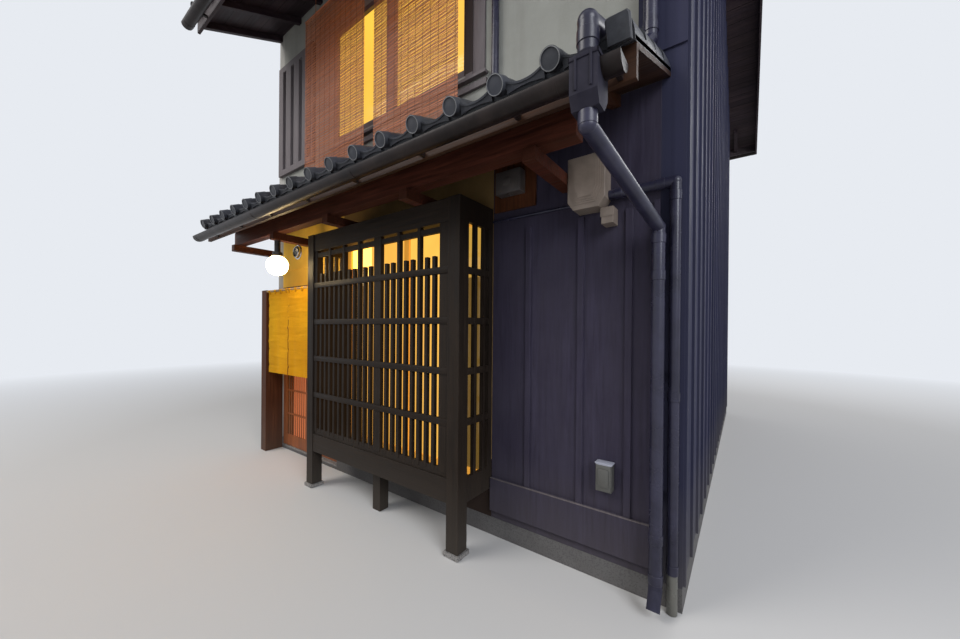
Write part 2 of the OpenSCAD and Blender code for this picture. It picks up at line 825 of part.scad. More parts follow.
// Slatted panel over the small window
module upper_lattice() {
    h = win_top - lat_z + 120;
    color("lightgray") at_corner() translate([inner_x - 60, -lat_t, lat_z - 60]) difference() {
        cube([lat_w + 120, lat_t, h]);
        for (i = [0 : slot_n - 1])
            translate([105 + i * lat_pitch, -1, 70]) cube([slot_w, lat_t + 2, h - 140]);
    }
}

// A bamboo blind on two cords
module blind(x, w) {
    translate([x, -blind_y - 6, blind_z]) cube([w, 12, blind_drop]);
    for (i = [0.2, 0.8])
        translate([x + w * i, -blind_y, blind_z + blind_drop])
            cylinder(r = 5, h = main_line(-blind_y - 5) - blind_z - blind_drop - seat);
}

module blinds() {
    left_w = 1.065 * blind_w;
    color("peru") at_corner() {
        blind(-win_x - blind_w, blind_w);
        blind(-win_x - blind_w - blind_gap - left_w, left_w);
    }
}

// Rafters of one eave between two depths
module eave_rafters(y0, y1) {
    n = floor((roof_w - 100) / rafter_gap);
    for (i = [0 : n])
        translate([-front_w + 20 + i * rafter_gap, 0, 0])
            along_x(0, rafter_w, [
                [y0, main_line(y0) - rafter_h], [y0, main_line(y0)],
                [y1, main_line(y1)], [y1, main_line(y1) - rafter_h]
            ]);
}

module eave_rafters_front() {
    color("saddlebrown") at_corner() eave_rafters(-eave_out + barge_t, 0);
}

module eave_rafters_rear() {
    color("saddlebrown") at_corner() eave_rafters(house_d, house_d + rear_out - barge_t);
}

// Boards of the main roof
module main_roof_boards() {
    y0 = -eave_out;
    y1 = house_d + rear_out;
    color("peru") at_corner()
        along_x(roof_x0, roof_x0 + roof_w, [
            [y0, main_line(y0)], [y0, main_line(y0) + deck_t],
            [ridge_y, main_line(ridge_y) + deck_t], [y1, main_line(y1) + deck_t],
            [y1, main_line(y1)], [ridge_y, main_line(ridge_y)]
        ]);
}

module main_roof_tiles() {
    pitch = roof_w / roof_n;
    run = ridge_y + tile_out - ridge_w / 2 + tile_h * sin(slope_a);
    color("dimgray") at_corner() {
        translate([0, -eave_out - tile_out, main_line(-eave_out - tile_out) + deck_t])
            tile_field(roof_x0, roof_w, pitch / 2, roof_n, pitch, (run + eave_out) / cos(slope_a), slope_a);
        translate([2 * roof_x0 + roof_w, house_d + rear_out + tile_out, main_line(-rear_out - tile_out) + deck_t])
            rotate([0, 0, 180])
                tile_field(roof_x0, roof_w, pitch / 2, roof_n, pitch, (run + rear_out) / cos(slope_a), slope_a);
    }
}

// Ridge that rides over the tops of both tile fields
module ridge_tiles() {
    z = main_line(ridge_y) + deck_t;
    side = z - main_pitch * ridge_w / 2 + tile_h / cos(slope_a) + seat;
    half = ridge_w / 2;
    color("dimgray") at_corner()
        along_x(roof_x0, roof_x0 + roof_w, [
            [ridge_y - half, side], [ridge_y - half + 25, z + ridge_h - 60],
            [ridge_y - 55, z + ridge_h], [ridge_y + 55, z + ridge_h],
            [ridge_y + half - 25, z + ridge_h - 60], [ridge_y + half, side],
            [ridge_y + 30, side], [ridge_y, z], [ridge_y - 30, side]
        ]);
}

module main_gutters() {
    color("darkslategray") at_corner() {
        gutter(-front_w, verge_out, -eave_out - gutter_off, main_gutter_z, 1);
        gutter(-front_w, verge_out, house_d + rear_out + gutter_off, rear_gutter_z, -1);
    }
}

// Boards along the eaves and along the sloping edge over the free side wall
module barge_boards() {
    y0 = -eave_out;
    y1 = house_d + rear_out;
    x1 = verge_out - barge_t;
    color("saddlebrown") at_corner() {
        along_x(x1, verge_out, [
            [y0, main_line(y0) - barge_h], [y0, main_line(y0)], [ridge_y, main_line(ridge_y)],
            [y1, main_line(y1)], [y1, main_line(y1) - barge_h], [ridge_y, main_line(ridge_y) - barge_h]
        ]);
        along_x(-front_w, x1, [
            [y0, main_line(y0) - fascia_h], [y0, main_line(y0)],
            [y0 + barge_t, main_line(y0 + barge_t)], [y0 + barge_t, main_line(y0) - fascia_h]
        ]);
        along_x(-front_w, x1, [
            [y1, main_line(y1) - fascia_h], [y1, main_line(y1)],
            [y1 - barge_t, main_line(y1 - barge_t)], [y1 - barge_t, main_line(y1) - fascia_h]
        ]);
    }
}

footing();
upper_floor();
panel_wall();
side_wall();
party_wall();
rear_wall();
rear_window_frames();
rear_glass();
bay_back_wall();
bay_window_frame();
lower_front_glass();
bay_posts();
post_stones();
bay_rails();
bay_lattice_front();
bay_lattice_sides();
entrance_lintel();
entrance_posts();
door_sill();
door_head();
entrance_door();
entrance_door_glass();
side_leaf();
noren_rod();
noren();
globe_lamp();
lamp_holder();
eave_beam();
pent_rafters();
pent_roof_boards();
pent_roof_tiles();
pent_gutter();
hopper_head();
cross_pipe();
downpipe();
wall_pipes();
meter_board();
electric_boxes();
upper_front_wall();
upper_window_frame();
upper_front_glass();
upper_lattice();
blinds();
eave_rafters_front();
eave_rafters_rear();
main_roof_boards();
main_roof_tiles();
ridge_tiles();
main_gutters();
barge_boards();
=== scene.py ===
import bmesh
import bpy
import math
import random
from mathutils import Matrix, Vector

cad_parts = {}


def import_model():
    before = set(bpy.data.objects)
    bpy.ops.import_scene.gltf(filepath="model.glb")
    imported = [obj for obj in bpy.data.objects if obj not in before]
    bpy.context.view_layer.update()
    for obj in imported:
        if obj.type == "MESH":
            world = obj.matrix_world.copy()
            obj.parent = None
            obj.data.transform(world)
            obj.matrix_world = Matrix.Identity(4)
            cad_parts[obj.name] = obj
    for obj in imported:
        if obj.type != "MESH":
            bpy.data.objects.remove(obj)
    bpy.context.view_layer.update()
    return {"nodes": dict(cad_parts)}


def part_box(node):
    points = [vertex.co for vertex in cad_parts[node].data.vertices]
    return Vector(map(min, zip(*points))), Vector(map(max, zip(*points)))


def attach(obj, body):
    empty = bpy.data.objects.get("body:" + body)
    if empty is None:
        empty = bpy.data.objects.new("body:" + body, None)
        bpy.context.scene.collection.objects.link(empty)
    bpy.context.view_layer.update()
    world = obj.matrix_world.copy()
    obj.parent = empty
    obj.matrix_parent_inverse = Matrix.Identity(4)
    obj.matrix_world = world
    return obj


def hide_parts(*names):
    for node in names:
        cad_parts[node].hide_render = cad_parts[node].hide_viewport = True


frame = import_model()
print("frame loaded:", len(frame["nodes"]), "nodes")

rng = random.Random(41)
half = dict(front=2.25, depth=2.95)
fullTurn = 2 * math.pi


def row(x, y, z):
    # x runs left from the house's right corner and y back from its front wall
    return Vector((x + half["front"], y - half["depth"], z))


# mesh helpers


def placeMesh(mesh, name, body, material, smooth=True, angle=40):
    obj = bpy.data.objects.new(name, mesh)
    bpy.context.scene.collection.objects.link(obj)
    mesh.materials.append(material)
    if smooth:
        mesh.shade_smooth()
        mesh.set_sharp_from_angle(angle=math.radians(angle))
    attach(obj, body)
    return obj


def finishMesh(bm, name, body, material, smooth=True, angle=40, closed=True):
    if closed:
        bmesh.ops.recalc_face_normals(bm, faces=bm.faces)
    mesh = bpy.data.meshes.new(name)
    bm.to_mesh(mesh)
    bm.free()
    return placeMesh(mesh, name, body, material, smooth, angle)


def addBlock(bm, low, high, edge=0.0, segments=2):
    low, high = Vector(low), Vector(high)
    verts = bmesh.ops.create_cube(bm, size=1.0)["verts"]
    size = high - low
    bmesh.ops.scale(bm, vec=size, verts=verts)
    bmesh.ops.translate(bm, vec=(low + high) / 2, verts=verts)
    if edge > 0:
        edges = list({e for v in verts for e in v.link_edges})
        bmesh.ops.bevel(bm, geom=edges, offset=min(edge, min(size) * 0.45), offset_type="OFFSET",
                        affect="EDGES", segments=segments, profile=0.5, material=-1)


def addLathe(bm, profile, centre, axis, steps=24, turn=fullTurn, start=None):
    # profile: (radius, height) pairs along a line, which is turned about the axis through the centre
    axis = Vector(axis).normalized()
    side = Vector(start) if start else axis.orthogonal().normalized()
    centre = Vector(centre)
    verts = [bm.verts.new(centre + side * r + axis * h) for r, h in profile]
    edges = [bm.edges.new((a, b)) for a, b in zip(verts, verts[1:])]
    whole = abs(turn - fullTurn) < 1e-6
    bmesh.ops.spin(bm, geom=verts + edges, cent=centre, axis=axis, angle=turn, steps=steps,
                   use_merge=whole, use_duplicate=False)


def addRing(bm, radius, width, thick, centre, axis, steps=24, turn=fullTurn, start=None):
    inner, outer, high = radius, radius + thick, width / 2
    corner = thick * 0.4
    profile = [(inner, -high), (outer - corner, -high), (outer, -high + corner),
               (outer, high - corner), (outer - corner, high), (inner, high)]
    addLathe(bm, profile, centre, axis, steps, turn, start)


def addDome(bm, radius, rise, centre, axis, steps=10):
    profile = [(radius, 0), (radius * 0.92, rise * 0.6), (radius * 0.6, rise * 0.95), (0.00001, rise)]
    addLathe(bm, profile, centre, axis, steps)


def circle(count, shift=0.0):
    return [fullTurn * (k + shift) / count for k in range(count)]


class Strips:
    # gathers the thousands of lapped tiles or reeds of one piece as plain points and faces, with a tone for
    # each face, because calling an operator for every one of them takes minutes
    def __init__(self):
        self.points, self.faces, self.tones = [], [], []

    def addFace(self, corners, turned=False):
        self.faces.append(tuple(reversed(corners)) if turned else tuple(corners))

    def loft(self, rings, tone, capped=True):
        # rings: closed outlines with equal numbers of points, joined in turn
        first, count = len(self.points), len(rings[0])
        for ring in rings:
            self.points.extend(ring)
        for s in range(len(rings) - 1):
            a, b = first + s * count, first + (s + 1) * count
            for i in range(count):
                j = (i + 1) % count
                self.addFace((a + i, a + j, b + j, b + i))
        if capped:
            last = first + (len(rings) - 1) * count
            self.addFace(range(first, first + count), turned=True)
            self.addFace(range(last, last + count))
        self.tones.extend([tone] * (len(self.faces) - len(self.tones)))

    def ribbon(self, outer, inner, tone):
        # outer and inner: stations of equal length, each a line of points across; one closed shell
        first, count, stations = len(self.points), len(outer[0]), len(outer)
        for line in outer + inner:
            self.points.extend(line)
        shift = stations * count
        for s in range(stations - 1):
            for i in range(count - 1):
                a = first + s * count + i
                b = a + shift
                self.addFace((a, a + 1, a + count + 1, a + count))
                self.addFace((b + 1, b, b + count, b + count + 1))
        for s, turned in ((0, False), (stations - 1, True)):
            for i in range(count - 1):
                a = first + s * count + i
                self.addFace((a, a + shift, a + shift + 1, a + 1), turned)
        for s in range(stations - 1):
            for i, turned in ((0, True), (count - 1, False)):
                a = first + s * count + i
                self.addFace((a, a + shift, a + shift + count, a + count), turned)
        self.tones.extend([tone] * (len(self.faces) - len(self.tones)))

    def build(self, name, body, material, angle=40):
        mesh = bpy.data.meshes.new(name)
        mesh.from_pydata([tuple(p) for p in self.points], [], self.faces)
        mesh.update()
        bm = bmesh.new()
        bm.from_mesh(mesh)
        bmesh.ops.recalc_face_normals(bm, faces=bm.faces)
        bm.to_mesh(mesh)
        bm.free()
        layer = mesh.attributes.new("tone", "FLOAT", "FACE")
        layer.data.foreach_set("value", self.tones)
        print(name, "has", len(mesh.polygons), "faces")
        return placeMesh(mesh, name, body, material, angle=angle)


# shader helpers


def makeGroup(name, inputs, outputs):
    group = bpy.data.node_groups.new(name, "ShaderNodeTree")
    for label, kind, value in inputs:
        made = group.interface.new_socket(name=label, in_out="INPUT", socket_type=kind)
        if value is not None:
            made.default_value = value
    for label in outputs:
        group.interface.new_socket(name=label, in_out="OUTPUT", socket_type="NodeSocketFloat")
    return group, group.nodes.new("NodeGroupInput").outputs, group.nodes.new("NodeGroupOutput").inputs


def setInput(tree, socket, value):
    if isinstance(value, bpy.types.NodeSocket):
        tree.links.new(value, socket)
    else:
        socket.default_value = value


def addNode(tree, kind, inputs=None, **settings):
    node = tree.nodes.new(kind)
    for key, value in settings.items():
        setattr(node, key, value)
    for key, value in (inputs or {}).items():
        setInput(tree, node.inputs[key], value)
    return node


def mathNode(tree, operation, *values):
    return addNode(tree, "ShaderNodeMath", dict(enumerate(values)), operation=operation).outputs[0]


def times(tree, a, b):
    return mathNode(tree, "MULTIPLY", a, b)


def remap(tree, value, fromLow, fromHigh, toLow=0.0, toHigh=1.0):
    inputs = {"Value": value, "From Min": fromLow, "From Max": fromHigh, "To Min": toLow, "To Max": toHigh}
    return addNode(tree, "ShaderNodeMapRange", inputs).outputs["Result"]


def noise(tree, vector, scale, detail, rough=0.5, distortion=0.0):
    inputs = {"Vector": vector, "Scale": scale, "Detail": detail, "Roughness": rough,
              "Distortion": distortion}
    return addNode(tree, "ShaderNodeTexNoise", inputs).outputs["Fac"]


def stretch(tree, vector, scale):
    return addNode(tree, "ShaderNodeMapping", {"Vector": vector, "Scale": scale}).outputs["Vector"]


def axes(tree, vector):
    return addNode(tree, "ShaderNodeSeparateXYZ", {"Vector": vector}).outputs


def mixColour(tree, factor, a, b, mode="MIX"):
    node = addNode(tree, "ShaderNodeMix", data_type="RGBA", blend_type=mode)
    for socket, value in ((node.inputs[0], factor), (node.inputs[6], a), (node.inputs[7], b)):
        setInput(tree, socket, (*value, 1.0) if isinstance(value, tuple) else value)
    return node.outputs[2]


def stained(tree, colour, mask, share, stain):
    return mixColour(tree, times(tree, mask, share), colour, stain)


def bumpNode(tree, height, strength, distance, under=None):
    inputs = {"Height": height, "Strength": strength, "Distance": distance}
    if under is not None:
        inputs["Normal"] = under
    return addNode(tree, "ShaderNodeBump", inputs).outputs["Normal"]


def fibreGroup():
    group, given, out = makeGroup(
        "fibre", [("Vector", "NodeSocketVector", None)], ["Fibre", "Tone", "Ring"])
    fine = noise(group, given["Vector"], 1.0, 7.0, 0.62, 0.3)
    broad = noise(group, given["Vector"], 0.16, 3.0)
    bent = mathNode(group, "MULTIPLY_ADD", broad, 9.0)
    ring = mathNode(group, "SINE", times(group, bent, 2.6))
    group.links.new(remap(group, fine, 0.32, 0.68), out["Fibre"])
    group.links.new(remap(group, broad, 0.3, 0.7), out["Tone"])
    group.links.new(remap(group, ring, -1.0, 1.0), out["Ring"])
    return group


def weatherGroup():
    # rain streaks down a wall, drifts of dust, and dirt splashed up its foot
    group, given, out = makeGroup(
        "weather", [("Vector", "NodeSocketVector", None)], ["Streak", "Dust", "Splash"])
    streak = noise(group, stretch(group, given["Vector"], (8.0, 8.0, 0.5)), 1.0, 6.0, 0.6)
    dust = noise(group, given["Vector"], 1.7, 7.0, 0.65)
    wavy = mathNode(group, "MULTIPLY_ADD", dust, 0.5, -0.25)
    level = mathNode(group, "ADD", axes(group, given["Vector"])["Z"], wavy)
    group.links.new(remap(group, streak, 0.48, 0.74), out["Streak"])
    group.links.new(remap(group, dust, 0.44, 0.72), out["Dust"])
    group.links.new(remap(group, level, 0.65, 0.02), out["Splash"])
    return group


def gritGroup():
    group, given, out = makeGroup(
        "grit", [("Vector", "NodeSocketVector", None), ("Scale", "NodeSocketFloat", 120.0)],
        ["Height", "Speck"])
    grains = addNode(group, "ShaderNodeTexVoronoi", {"Vector": given["Vector"], "Scale": given["Scale"]})
    soft = noise(group, given["Vector"], given["Scale"], 5.0, 0.7)
    parts = addNode(group, "ShaderNodeSeparateColor", {"Color": grains.outputs["Color"]})
    group.links.new(times(group, grains.outputs["Distance"], soft), out["Height"])
    group.links.new(parts.outputs["Red"], out["Speck"])
    return group


def jointGroup():
    # boards or sheets side by side: a dark line at each joint and one random shade for each board
    floatSockets = (("Position", 0.0), ("Pitch", 0.15), ("Gap", 0.004))
    group, given, out = makeGroup(
        "joints", [(label, "NodeSocketFloat", value) for label, value in floatSockets], ["Line", "Shade"])
    steps = mathNode(group, "DIVIDE", given["Position"], given["Pitch"])
    share = mathNode(group, "DIVIDE", given["Gap"], given["Pitch"])
    line = mathNode(group, "LESS_THAN", mathNode(group, "PINGPONG", steps, 0.5), share)
    number = mathNode(group, "ROUND", steps)
    shade = addNode(group, "ShaderNodeTexWhiteNoise", {"W": number}, noise_dimensions="1D")
    group.links.new(line, out["Line"])
    group.links.new(shade.outputs["Value"], out["Shade"])
    return group


groups = dict(fibre=fibreGroup(), weather=weatherGroup(), grit=gritGroup(), joints=jointGroup())
dirt = dict(timber=(0.16, 0.14, 0.12), wall=(0.12, 0.11, 0.1))


def groupNode(tree, name, inputs):
    return addNode(tree, "ShaderNodeGroup", inputs, node_tree=groups[name]).outputs


def startMaterial(name):
    material = bpy.data.materials.new(name)
    material.use_nodes = True
    tree = material.node_tree
    shader = tree.nodes["Principled BSDF"].inputs
    place = addNode(tree, "ShaderNodeTexCoord").outputs["Object"]
    return material, tree, shader, place


def finishLook(tree, shader, colour, rough, normal):
    tree.links.new(colour, shader["Base Color"])
    tree.links.new(rough, shader["Roughness"])
    tree.links.new(normal, shader["Normal"])


def letLightThrough(tree, share, colour):
    # part of the light passes the piece and colours its other side
    glow = addNode(tree, "ShaderNodeBsdfTranslucent", {"Color": (*colour, 1.0)})
    surface = tree.nodes["Principled BSDF"].outputs["BSDF"]
    both = addNode(tree, "ShaderNodeMixShader", {0: share, 1: surface, 2: glow.outputs["BSDF"]})
    tree.links.new(both.outputs["Shader"], tree.nodes["Material Output"].inputs["Surface"])


def timber(name, s):
    material, tree, shader, place = startMaterial(name)
    grain = stretch(tree, place, tuple(s["along"] if axis == s["axis"] else s["across"] for axis in "XYZ"))
    fibre = groupNode(tree, "fibre", {"Vector": grain})
    weather = groupNode(tree, "weather", {"Vector": place})
    colour = mixColour(tree, fibre["Fibre"], s["dark"], s["light"])
    colour = stained(tree, colour, fibre["Ring"], s["ring"], s["dark"])
    colour = stained(tree, colour, fibre["Tone"], s["stainShare"], s["stain"])
    normal = None
    if s.get("boards"):
        axis, pitch = s["boards"]
        along = axes(tree, place)[axis]
        joints = groupNode(tree, "joints", {"Position": along, "Pitch": pitch, "Gap": 0.003})
        shade = remap(tree, joints["Shade"], 0.0, 1.0, 0.72, 1.25)
        grey = addNode(tree, "ShaderNodeCombineColor", {"Red": shade, "Green": shade, "Blue": shade})
        colour = mixColour(tree, 1.0, colour, grey.outputs["Color"], "MULTIPLY")
        colour = mixColour(tree, joints["Line"], colour, tuple(c * 0.25 for c in s["dark"]))
        normal = bumpNode(tree, mathNode(tree, "SUBTRACT", 1.0, joints["Line"]), 0.6, 0.004)
    colour = stained(tree, colour, weather["Dust"], s["wear"], s["worn"])
    if s.get("band"):
        # one member of the node is stained darker, between two places along an axis
        axis, low, high, upward, above, bandColour = s["band"]
        at = axes(tree, place)
        inside = times(tree, mathNode(tree, "GREATER_THAN", at[axis], low),
                       mathNode(tree, "LESS_THAN", at[axis], high))
        inside = times(tree, inside, mathNode(tree, "GREATER_THAN", at[upward], above))
        colour = stained(tree, colour, inside, 0.92, bandColour)
    colour = stained(tree, colour, weather["Splash"], s["splash"], dirt["timber"])
    finishLook(tree, shader, colour, remap(tree, fibre["Fibre"], 0.0, 1.0, *s["rough"]),
               bumpNode(tree, fibre["Fibre"], s["bump"], 0.002, normal))
    shader["Specular IOR Level"].default_value = s["shine"]
    if s.get("glow"):
        tree.links.new(colour, shader["Emission Color"])
        shader["Emission Strength"].default_value = s["glow"]
    return material


timberLooks = dict(
    dark=(0.007, 0.0045, 0.003), light=(0.024, 0.0155, 0.010), stain=(0.014, 0.010, 0.008),
    stainShare=0.5, ring=0.35, across=55.0, along=2.6, wear=0.25, worn=(0.04, 0.03, 0.024), splash=0.2,
    shine=0.14, rough=(0.42, 0.68), bump=0.35)
brownLooks = dict(
    timberLooks, dark=(0.038, 0.011, 0.004), light=(0.115, 0.038, 0.014), stain=(0.06, 0.021, 0.01),
    wear=0.2, worn=(0.14, 0.066, 0.034), ring=0.45, splash=0.2)
paintedLooks = dict(
    timberLooks, dark=(0.024, 0.02, 0.036), light=(0.046, 0.04, 0.069), stain=(0.034, 0.029, 0.045),
    stainShare=0.6, ring=0.15, across=38.0, wear=0.3, worn=(0.066, 0.06, 0.083), splash=0.22,
    rough=(0.5, 0.75), bump=0.25)
paleLooks = dict(
    paintedLooks, dark=(0.115, 0.1, 0.105), light=(0.195, 0.17, 0.176), stain=(0.14, 0.122, 0.126),
    wear=0.3, worn=(0.1, 0.09, 0.09), splash=0.0)

woodLooks = {
    "darkTimberUpright": dict(timberLooks, axis="Z"),
    "darkTimberAlong": dict(timberLooks, axis="X"),
    "brownTimberUpright": dict(brownLooks, axis="Z"),
    "brownTimberAlong": dict(brownLooks, axis="X"),
    "redBeam": dict(
        brownLooks, axis="X", dark=(0.032, 0.009, 0.006), light=(0.12, 0.034, 0.021)),
    "brownRafter": dict(
        brownLooks, axis="Y", dark=(0.02, 0.0075, 0.004), light=(0.07, 0.026, 0.012), shine=0.12),
    "sashTimber": dict(
        paleLooks, axis="Z", band=("X", 0.745, 0.8395, "Z", 3.452, (0.03, 0.022, 0.02))),
    "pentBoards": dict(
        brownLooks, axis="X", boards=("Y", 0.15), dark=(0.018, 0.008, 0.005),
        light=(0.06, 0.026, 0.013), stain=(0.03, 0.014, 0.009), worn=(0.07, 0.04, 0.025)),
    "soffitRafter": dict(
        timberLooks, axis="Y", dark=(0.022, 0.014, 0.018), light=(0.06, 0.04, 0.045),
        stain=(0.03, 0.022, 0.032), splash=0.0),
    "soffitBoards": dict(
        timberLooks, axis="X", boards=("Y", 0.18), dark=(0.026, 0.017, 0.02), light=(0.07, 0.047, 0.05),
        stain=(0.034, 0.025, 0.035), splash=0.0),
    "bargeBoard": dict(
        timberLooks, axis="Y", dark=(0.03, 0.022, 0.026), light=(0.09, 0.07, 0.075),
        stain=(0.045, 0.035, 0.042), splash=0.0),
    "floorBoards": dict(brownLooks, axis="Y", boards=("X", 0.18), splash=0.0),
    "panelBoards": dict(paintedLooks, axis="Z"),
    "paleBoards": dict(paleLooks, axis="Z"),
    "leafTimber": dict(
        brownLooks, axis="Z", dark=(0.18, 0.046, 0.013), light=(0.42, 0.125, 0.034),
        stain=(0.26, 0.075, 0.022), wear=0.15, worn=(0.42, 0.2, 0.09), rough=(0.35, 0.55)),
    "litTimber": dict(
        brownLooks, axis="Z", dark=(0.62, 0.27, 0.03), light=(0.9, 0.42, 0.06), stain=(0.7, 0.3, 0.04),
        splash=0.0, wear=0.0, glow=0.75),
    "meterBoard": dict(brownLooks, axis="Z", splash=0.0),
}
woods = {name: timber(name, looks) for name, looks in woodLooks.items()}
print("timber materials:", len(woods))


def mineral(name, s):
    material, tree, shader, place = startMaterial(name)
    grit = groupNode(tree, "grit", {"Vector": place, "Scale": s["scale"]})
    weather = groupNode(tree, "weather", {"Vector": place})
    cloud = noise(tree, place, s["cloud"], 6.0, 0.6)
    colour = mixColour(tree, remap(tree, cloud, 0.34, 0.66), s["dark"], s["light"])
    speck = mathNode(tree, "GREATER_THAN", grit["Speck"], 0.72)
    colour = stained(tree, colour, speck, s["speckShare"], s["speck"])
    colour = stained(tree, colour, weather["Streak"], s["streak"], s["stain"])
    colour = stained(tree, colour, weather["Splash"], s["splash"], dirt["wall"])
    if s.get("under"):
        # painted shade: below the given height the wall is painted almost black, for the shade under the bay
        top, lowColour = s["under"]
        colour = mixColour(tree, mathNode(tree, "LESS_THAN", axes(tree, place)["Z"], top), colour, lowColour)
    swell = bumpNode(tree, cloud, s["swell"], 0.01)
    finishLook(tree, shader, colour, remap(tree, cloud, 0.3, 0.7, *s["rough"]),
               bumpNode(tree, grit["Height"], s["bump"], 0.002, swell))
    shader["Specular IOR Level"].default_value = 0.3
    return material


plasterLooks = dict(scale=240.0, speckShare=0.3, splash=0.0, rough=(0.8, 0.95), swell=0.2, bump=0.35)
stoneLooks = {
    "concrete": dict(
        scale=160.0, cloud=3.0, dark=(0.085, 0.082, 0.084), light=(0.15, 0.146, 0.147),
        speck=(0.05, 0.048, 0.052), speckShare=0.5, streak=0.35, stain=(0.1, 0.096, 0.094), splash=0.3,
        rough=(0.75, 0.95), swell=0.25, bump=0.5),
    "granite": dict(
        scale=220.0, cloud=9.0, dark=(0.27, 0.26, 0.25), light=(0.42, 0.4, 0.385),
        speck=(0.07, 0.07, 0.075), speckShare=0.85, streak=0.1, stain=(0.2, 0.19, 0.18), splash=0.35,
        rough=(0.6, 0.85), swell=0.4, bump=0.6),
    "upperPlaster": dict(
        plasterLooks, cloud=1.3, dark=(0.25, 0.252, 0.228), light=(0.35, 0.353, 0.325),
        speck=(0.29, 0.29, 0.265), streak=0.4, stain=(0.2, 0.198, 0.18)),
    # painted light: the lintel's beige plaster is coloured golden, as the globe lamp lights it
    "lampLitPlaster": dict(
        plasterLooks, cloud=1.8, dark=(0.7, 0.41, 0.05), light=(0.88, 0.55, 0.08),
        speck=(0.76, 0.47, 0.07), streak=0.3, stain=(0.56, 0.34, 0.07)),
    # painted shade: a darker copy of the lamp-lit plaster for the wall behind the bay, which lies in shadow,
    # painted almost black low down under the bay
    "paintedShadePlaster": dict(
        plasterLooks, cloud=1.8, dark=(0.19, 0.115, 0.04), light=(0.28, 0.18, 0.07),
        speck=(0.22, 0.14, 0.05), streak=0.3, stain=(0.14, 0.09, 0.04),
        under=(0.55, (0.022, 0.012, 0.008))),
    "partyPlaster": dict(
        plasterLooks, scale=200.0, cloud=0.9, dark=(0.33, 0.32, 0.3), light=(0.47, 0.46, 0.43),
        speck=(0.4, 0.39, 0.37), streak=0.6, stain=(0.24, 0.23, 0.22), splash=0.6, swell=0.3, bump=0.4),
}
stones = {name: mineral(name, looks) for name, looks in stoneLooks.items()}


def siding(name, s):
    material, tree, shader, place = startMaterial(name)
    parts = axes(tree, place)
    across = mathNode(tree, "ADD", parts["X"], parts["Y"])
    weather = groupNode(tree, "weather", {"Vector": place})
    sheets = groupNode(tree, "joints", {"Position": across, "Pitch": s["sheet"], "Gap": 0.0016})
    away = mathNode(tree, "PINGPONG", mathNode(tree, "DIVIDE", across, s["rib"]), 0.5)
    rib = remap(tree, away, 0.14, 0.26)
    colour = mixColour(tree, sheets["Shade"], s["dark"], s["light"])
    colour = stained(tree, colour, rib, 0.25, s["light"])
    colour = stained(tree, colour, weather["Streak"], s["streak"], s["stain"])
    colour = stained(tree, colour, weather["Splash"], 0.55, dirt["wall"])
    colour = mixColour(tree, sheets["Line"], colour, (0.01, 0.01, 0.012))
    grit = groupNode(tree, "grit", {"Vector": place, "Scale": 300.0})
    ribs = bumpNode(tree, rib, 0.8, s["ribDepth"])
    finishLook(tree, shader, colour, remap(tree, weather["Dust"], 0.0, 1.0, *s["rough"]),
               bumpNode(tree, grit["Height"], 0.12, 0.0006, ribs))
    shader["Specular IOR Level"].default_value = s["shine"]
    return material


sidingLooks = {
    "sideSiding": dict(
        sheet=0.318, rib=0.159, ribDepth=0.0015, dark=(0.027, 0.028, 0.054), light=(0.043, 0.044, 0.083),
        streak=0.4, stain=(0.05, 0.048, 0.062), rough=(0.72, 0.88), shine=0.12),
    "rearSiding": dict(
        sheet=0.45, rib=0.15, ribDepth=0.002, dark=(0.05, 0.048, 0.065), light=(0.08, 0.078, 0.1),
        streak=0.45, stain=(0.12, 0.11, 0.11), rough=(0.4, 0.65), shine=0.35),
}
metals = {name: siding(name, looks) for name, looks in sidingLooks.items()}


def moulded(name, s):
    material, tree, shader, place = startMaterial(name)
    weather = groupNode(tree, "weather", {"Vector": place})
    cloud = noise(tree, place, 6.0, 5.0, 0.6)
    colour = mixColour(tree, remap(tree, cloud, 0.35, 0.65), s["dark"], s["light"])
    colour = stained(tree, colour, weather["Streak"], s["streak"], s["stain"])
    height = axes(tree, place)["Z"]
    # below each given height the colour is replaced; on the outlet box this paints a highlight on the lid and
    # shade on the body
    for top, lowColour in s.get("low", ()):
        colour = mixColour(tree, mathNode(tree, "LESS_THAN", height, top), colour, lowColour)
    grit = groupNode(tree, "grit", {"Vector": place, "Scale": 420.0})
    rough = remap(tree, weather["Dust"], 0.0, 1.0, *s["rough"])
    if s.get("matt"):
        # splashed dirt leaves the foot of a pipe dull
        top, dull = s["matt"]
        rough = mathNode(tree, "MAXIMUM", rough, times(tree, mathNode(tree, "LESS_THAN", height, top), dull))
    finishLook(tree, shader, colour, rough, bumpNode(tree, grit["Height"], 0.1, 0.0005))
    shader["Metallic"].default_value = s.get("metal", 0.0)
    shader["Specular IOR Level"].default_value = s.get("shine", 0.5)
    return material


